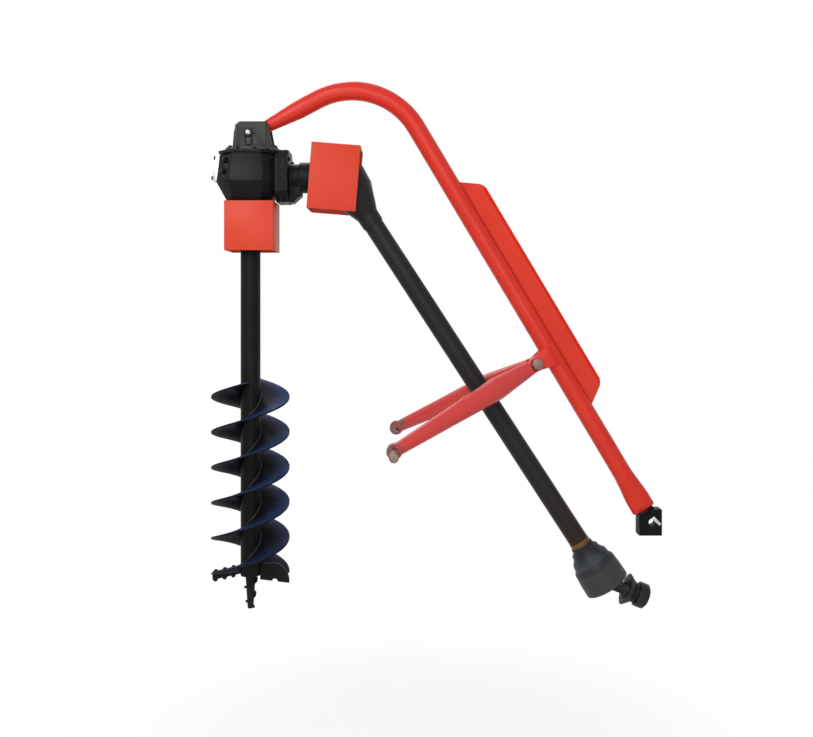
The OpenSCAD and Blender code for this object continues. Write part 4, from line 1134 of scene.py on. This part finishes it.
def flight_weld(name, bearing):
    """The weld bead along a flight's root, on its upper side"""
    start_clear()
    bpy.ops.mesh.primitive_circle_add(
        vertices=10, radius=sizes().root_weld, rotation=(math.radians(90), 0, 0)
    )
    obj = name_new(name)
    obj.location = (TUBE_RADIUS + ROOT_WELD_OFFSET, 0.0, ROOT_WELD_OFFSET)
    bpy.ops.object.transform_apply(location=True, rotation=True, scale=True)
    wind(obj, ROOT_WELD_STEPS)
    roughen(0.0004, seed=5)
    trim_flat(obj)
    on_auger(obj, bearing)
    shade_by_angle(obj, 60)
    return give(obj, weld_bead(), "auger")


def pilot_weld():
    """The weld round the pilot: a torus with an uneven surface"""
    low, high = node_box("pilot_point")
    reach = min(TUBE_RADIUS, (high.x - low.x) / 2) - PILOT_WELD_INSET
    foot = Vector((GEAR_CENTRE.x, GEAR_CENTRE.y, node_box("auger_tube")[0].z))
    start_clear()
    bpy.ops.mesh.primitive_torus_add(
        major_radius=reach, minor_radius=sizes().pilot_weld, major_segments=72, minor_segments=8
    )
    obj = name_new("pilot_weld")
    roughen(0.0007, seed=3)
    place(obj, frame_at(foot, UPRIGHT))
    bpy.ops.object.shade_smooth()
    return give(obj, auger_black(), "auger")


class EARTHAUGER_OT_auger(bpy.types.Operator):
    """Wind the two flights with their welds, and round the cutters and the pilot"""

    bl_idname = "earthauger.auger"
    bl_label = "Auger"

    def execute(self, context):
        for label, bearing in (("a", math.pi), ("b", 0.0)):
            flight("auger_flight_" + label, bearing)
            flight_weld("flight_weld_" + label, bearing)
        for node in ("cutter_bar", "cutter_blade"):
            softened(node, sizes().plate_round, auger_black())
        smoothed("pilot_point", auger_black(), 48)
        pilot_weld()
        return {"FINISHED"}


class EARTHAUGER_OT_driveline(bpy.types.Operator):
    """Round the driveline's bells, bearing ring, yokes and locking collar"""

    bl_idname = "earthauger.driveline"
    bl_label = "Driveline"

    def execute(self, context):
        softened("upper_bell", sizes().moulding_round, shield_plastic(), angle=20, shade=16)
        softened("lower_bell", sizes().moulding_round, bell_plastic(), angle=20, shade=16)
        softened("lower_shield_ring", sizes().moulding_round, ring_plastic())
        for node in ("tractor_yoke", "lower_yoke", "locking_collar"):
            softened(node, sizes().plate_round, forged_steel())
        return {"FINISHED"}


# Stage


def driveline_drop():
    """How far the driveline's end sinks when the gearbox swings out and the shaft extends"""
    swing = JOINTS["gearbox_swing"]
    turn = Matrix.Rotation(math.radians(swing["range_deg"][1]), 3, Vector(swing["axis"]))
    arm = UPPER_JOINT - BOOM_PIN
    swung = arm.z - (turn @ arm).z
    return swung - DRIVE_AXIS.z * JOINTS["driveline_extend"]["range_m"][1]


def seen_rays(tree):
    """1 for camera, glossy and transmission rays, which see the plain white background"""
    path = add_node(tree, "LightPath").outputs
    mirrored = combine(tree, "MAXIMUM", path["Is Glossy Ray"], path["Is Transmission Ray"])
    return combine(tree, "MAXIMUM", path["Is Camera Ray"], mirrored)


def mix_surface(tree, share, first, second, output):
    """Two shaders mixed into the surface"""
    mix = add_node(tree, "MixShader", {"Fac": share})
    tree.links.new(first, mix.inputs[1])
    tree.links.new(second, mix.inputs[2])
    tree.links.new(mix.outputs["Shader"], tree.nodes[output].inputs["Surface"])


def make_floor(height):
    """A pale floor that keeps the shadow near the auger and fades into the white background"""
    start_clear()
    bpy.ops.mesh.primitive_plane_add(size=FLOOR_WIDTH, location=(MIDDLE.x, MIDDLE.y, height))
    floor = name_new("floor")
    material = bpy.data.materials.new("pale floor")
    material.use_nodes = True
    tree = material.node_tree
    shader = tree.nodes["Principled BSDF"]
    shader.inputs["Base Color"].default_value = opaque(colours().floor)
    shader.inputs["Roughness"].default_value = 0.9
    shader.inputs["Specular IOR Level"].default_value = 0.1
    white = add_node(tree, "Emission").outputs["Emission"]
    spot = add_node(tree, "TexCoord").outputs["Object"]
    reach = combine_vectors(tree, "LENGTH", spot, output="Value")
    whiteness = fade(tree, reach, *FLOOR_FADE, low=FLOOR_WHITE, smooth=True)
    share = combine(tree, "MULTIPLY", whiteness, seen_rays(tree))
    mix_surface(tree, share, shader.outputs["BSDF"], white, "Material Output")
    floor.data.materials.append(material)


def make_world():
    """Soft light for the auger, and plain white where the background is seen"""
    world = bpy.data.worlds.new("studio")
    bpy.context.scene.world = world
    world.use_nodes = True
    tree = world.node_tree
    light = tree.nodes["Background"]
    light.inputs["Color"].default_value = SKY_COLOUR
    light.inputs["Strength"].default_value = SKY_STRENGTH
    plain = add_node(tree, "Background", {"Color": WHITE}).outputs["Background"]
    mix_surface(tree, seen_rays(tree), light.outputs["Background"], plain, "World Output")


def make_lamp(name, place_at, width, power):
    """A round lamp that points at the middle of the auger"""
    data = bpy.data.lights.new(name, "AREA")
    data.shape = "DISK"
    data.size = width
    data.energy = power
    lamp = bpy.data.objects.new(name, data)
    bpy.context.scene.collection.objects.link(lamp)
    lamp.location = place_at
    lamp.rotation_euler = (MIDDLE - Vector(place_at)).to_track_quat("-Z", "Y").to_euler()


def make_camera():
    """A level camera in front of the boom's plane"""
    data = bpy.data.cameras.new("camera")
    data.sensor_width = SENSOR_WIDTH
    data.lens = LENS_LENGTH
    data.shift_y = LENS_SHIFT
    camera = bpy.data.objects.new("camera", data)
    bpy.context.scene.collection.objects.link(camera)
    camera.location = (sizes().camera_side, -sizes().camera_distance, sizes().camera_height)
    camera.rotation_euler = (math.radians(90), 0.0, 0.0)
    bpy.context.scene.camera = camera


class EARTHAUGER_OT_stage(bpy.types.Operator):
    """Floor, light and camera"""

    bl_idname = "earthauger.stage"
    bl_label = "Stage"

    def execute(self, context):
        make_floor(CAD_BOX[0][2] - driveline_drop() - FLOOR_BELOW)
        make_world()
        for lamp in LAMPS:
            make_lamp(*lamp)
        make_camera()
        context.scene.view_settings.view_transform = "Standard"
        return {"FINISHED"}


class EARTHAUGER_PT_panel(bpy.types.Panel):
    """Lists the auger's pieces"""

    bl_idname = "EARTHAUGER_PT_panel"
    bl_label = "Earth Auger"
    bl_space_type = "VIEW_3D"
    bl_region_type = "UI"
    bl_category = "Earth Auger"

    def draw(self, context):
        for operator in OPERATORS:
            self.layout.operator(operator.bl_idname)


OPERATORS = (
    EARTHAUGER_OT_paint,
    EARTHAUGER_OT_boom,
    EARTHAUGER_OT_yoke,
    EARTHAUGER_OT_castings,
    EARTHAUGER_OT_guards,
    EARTHAUGER_OT_auger,
    EARTHAUGER_OT_driveline,
    EARTHAUGER_OT_stage,
)
CLASSES = (AugerSizes, AugerColours, *OPERATORS, EARTHAUGER_PT_panel)


def register():
    for cls in CLASSES:
        bpy.utils.register_class(cls)
    bpy.types.Scene.auger_sizes = bpy.props.PointerProperty(type=AugerSizes)
    bpy.types.Scene.auger_colours = bpy.props.PointerProperty(type=AugerColours)


def unregister():
    del bpy.types.Scene.auger_colours
    del bpy.types.Scene.auger_sizes
    for cls in reversed(CLASSES):
        bpy.utils.unregister_class(cls)


def main():
    register()
    bpy.ops.earthauger.paint()
    bpy.ops.earthauger.boom()
    bpy.ops.earthauger.yoke()
    bpy.ops.earthauger.castings()
    bpy.ops.earthauger.guards()
    bpy.ops.earthauger.auger()
    bpy.ops.earthauger.driveline()
    bpy.ops.earthauger.stage()
    to_object_mode()


if __name__ == "__main__":
    main()
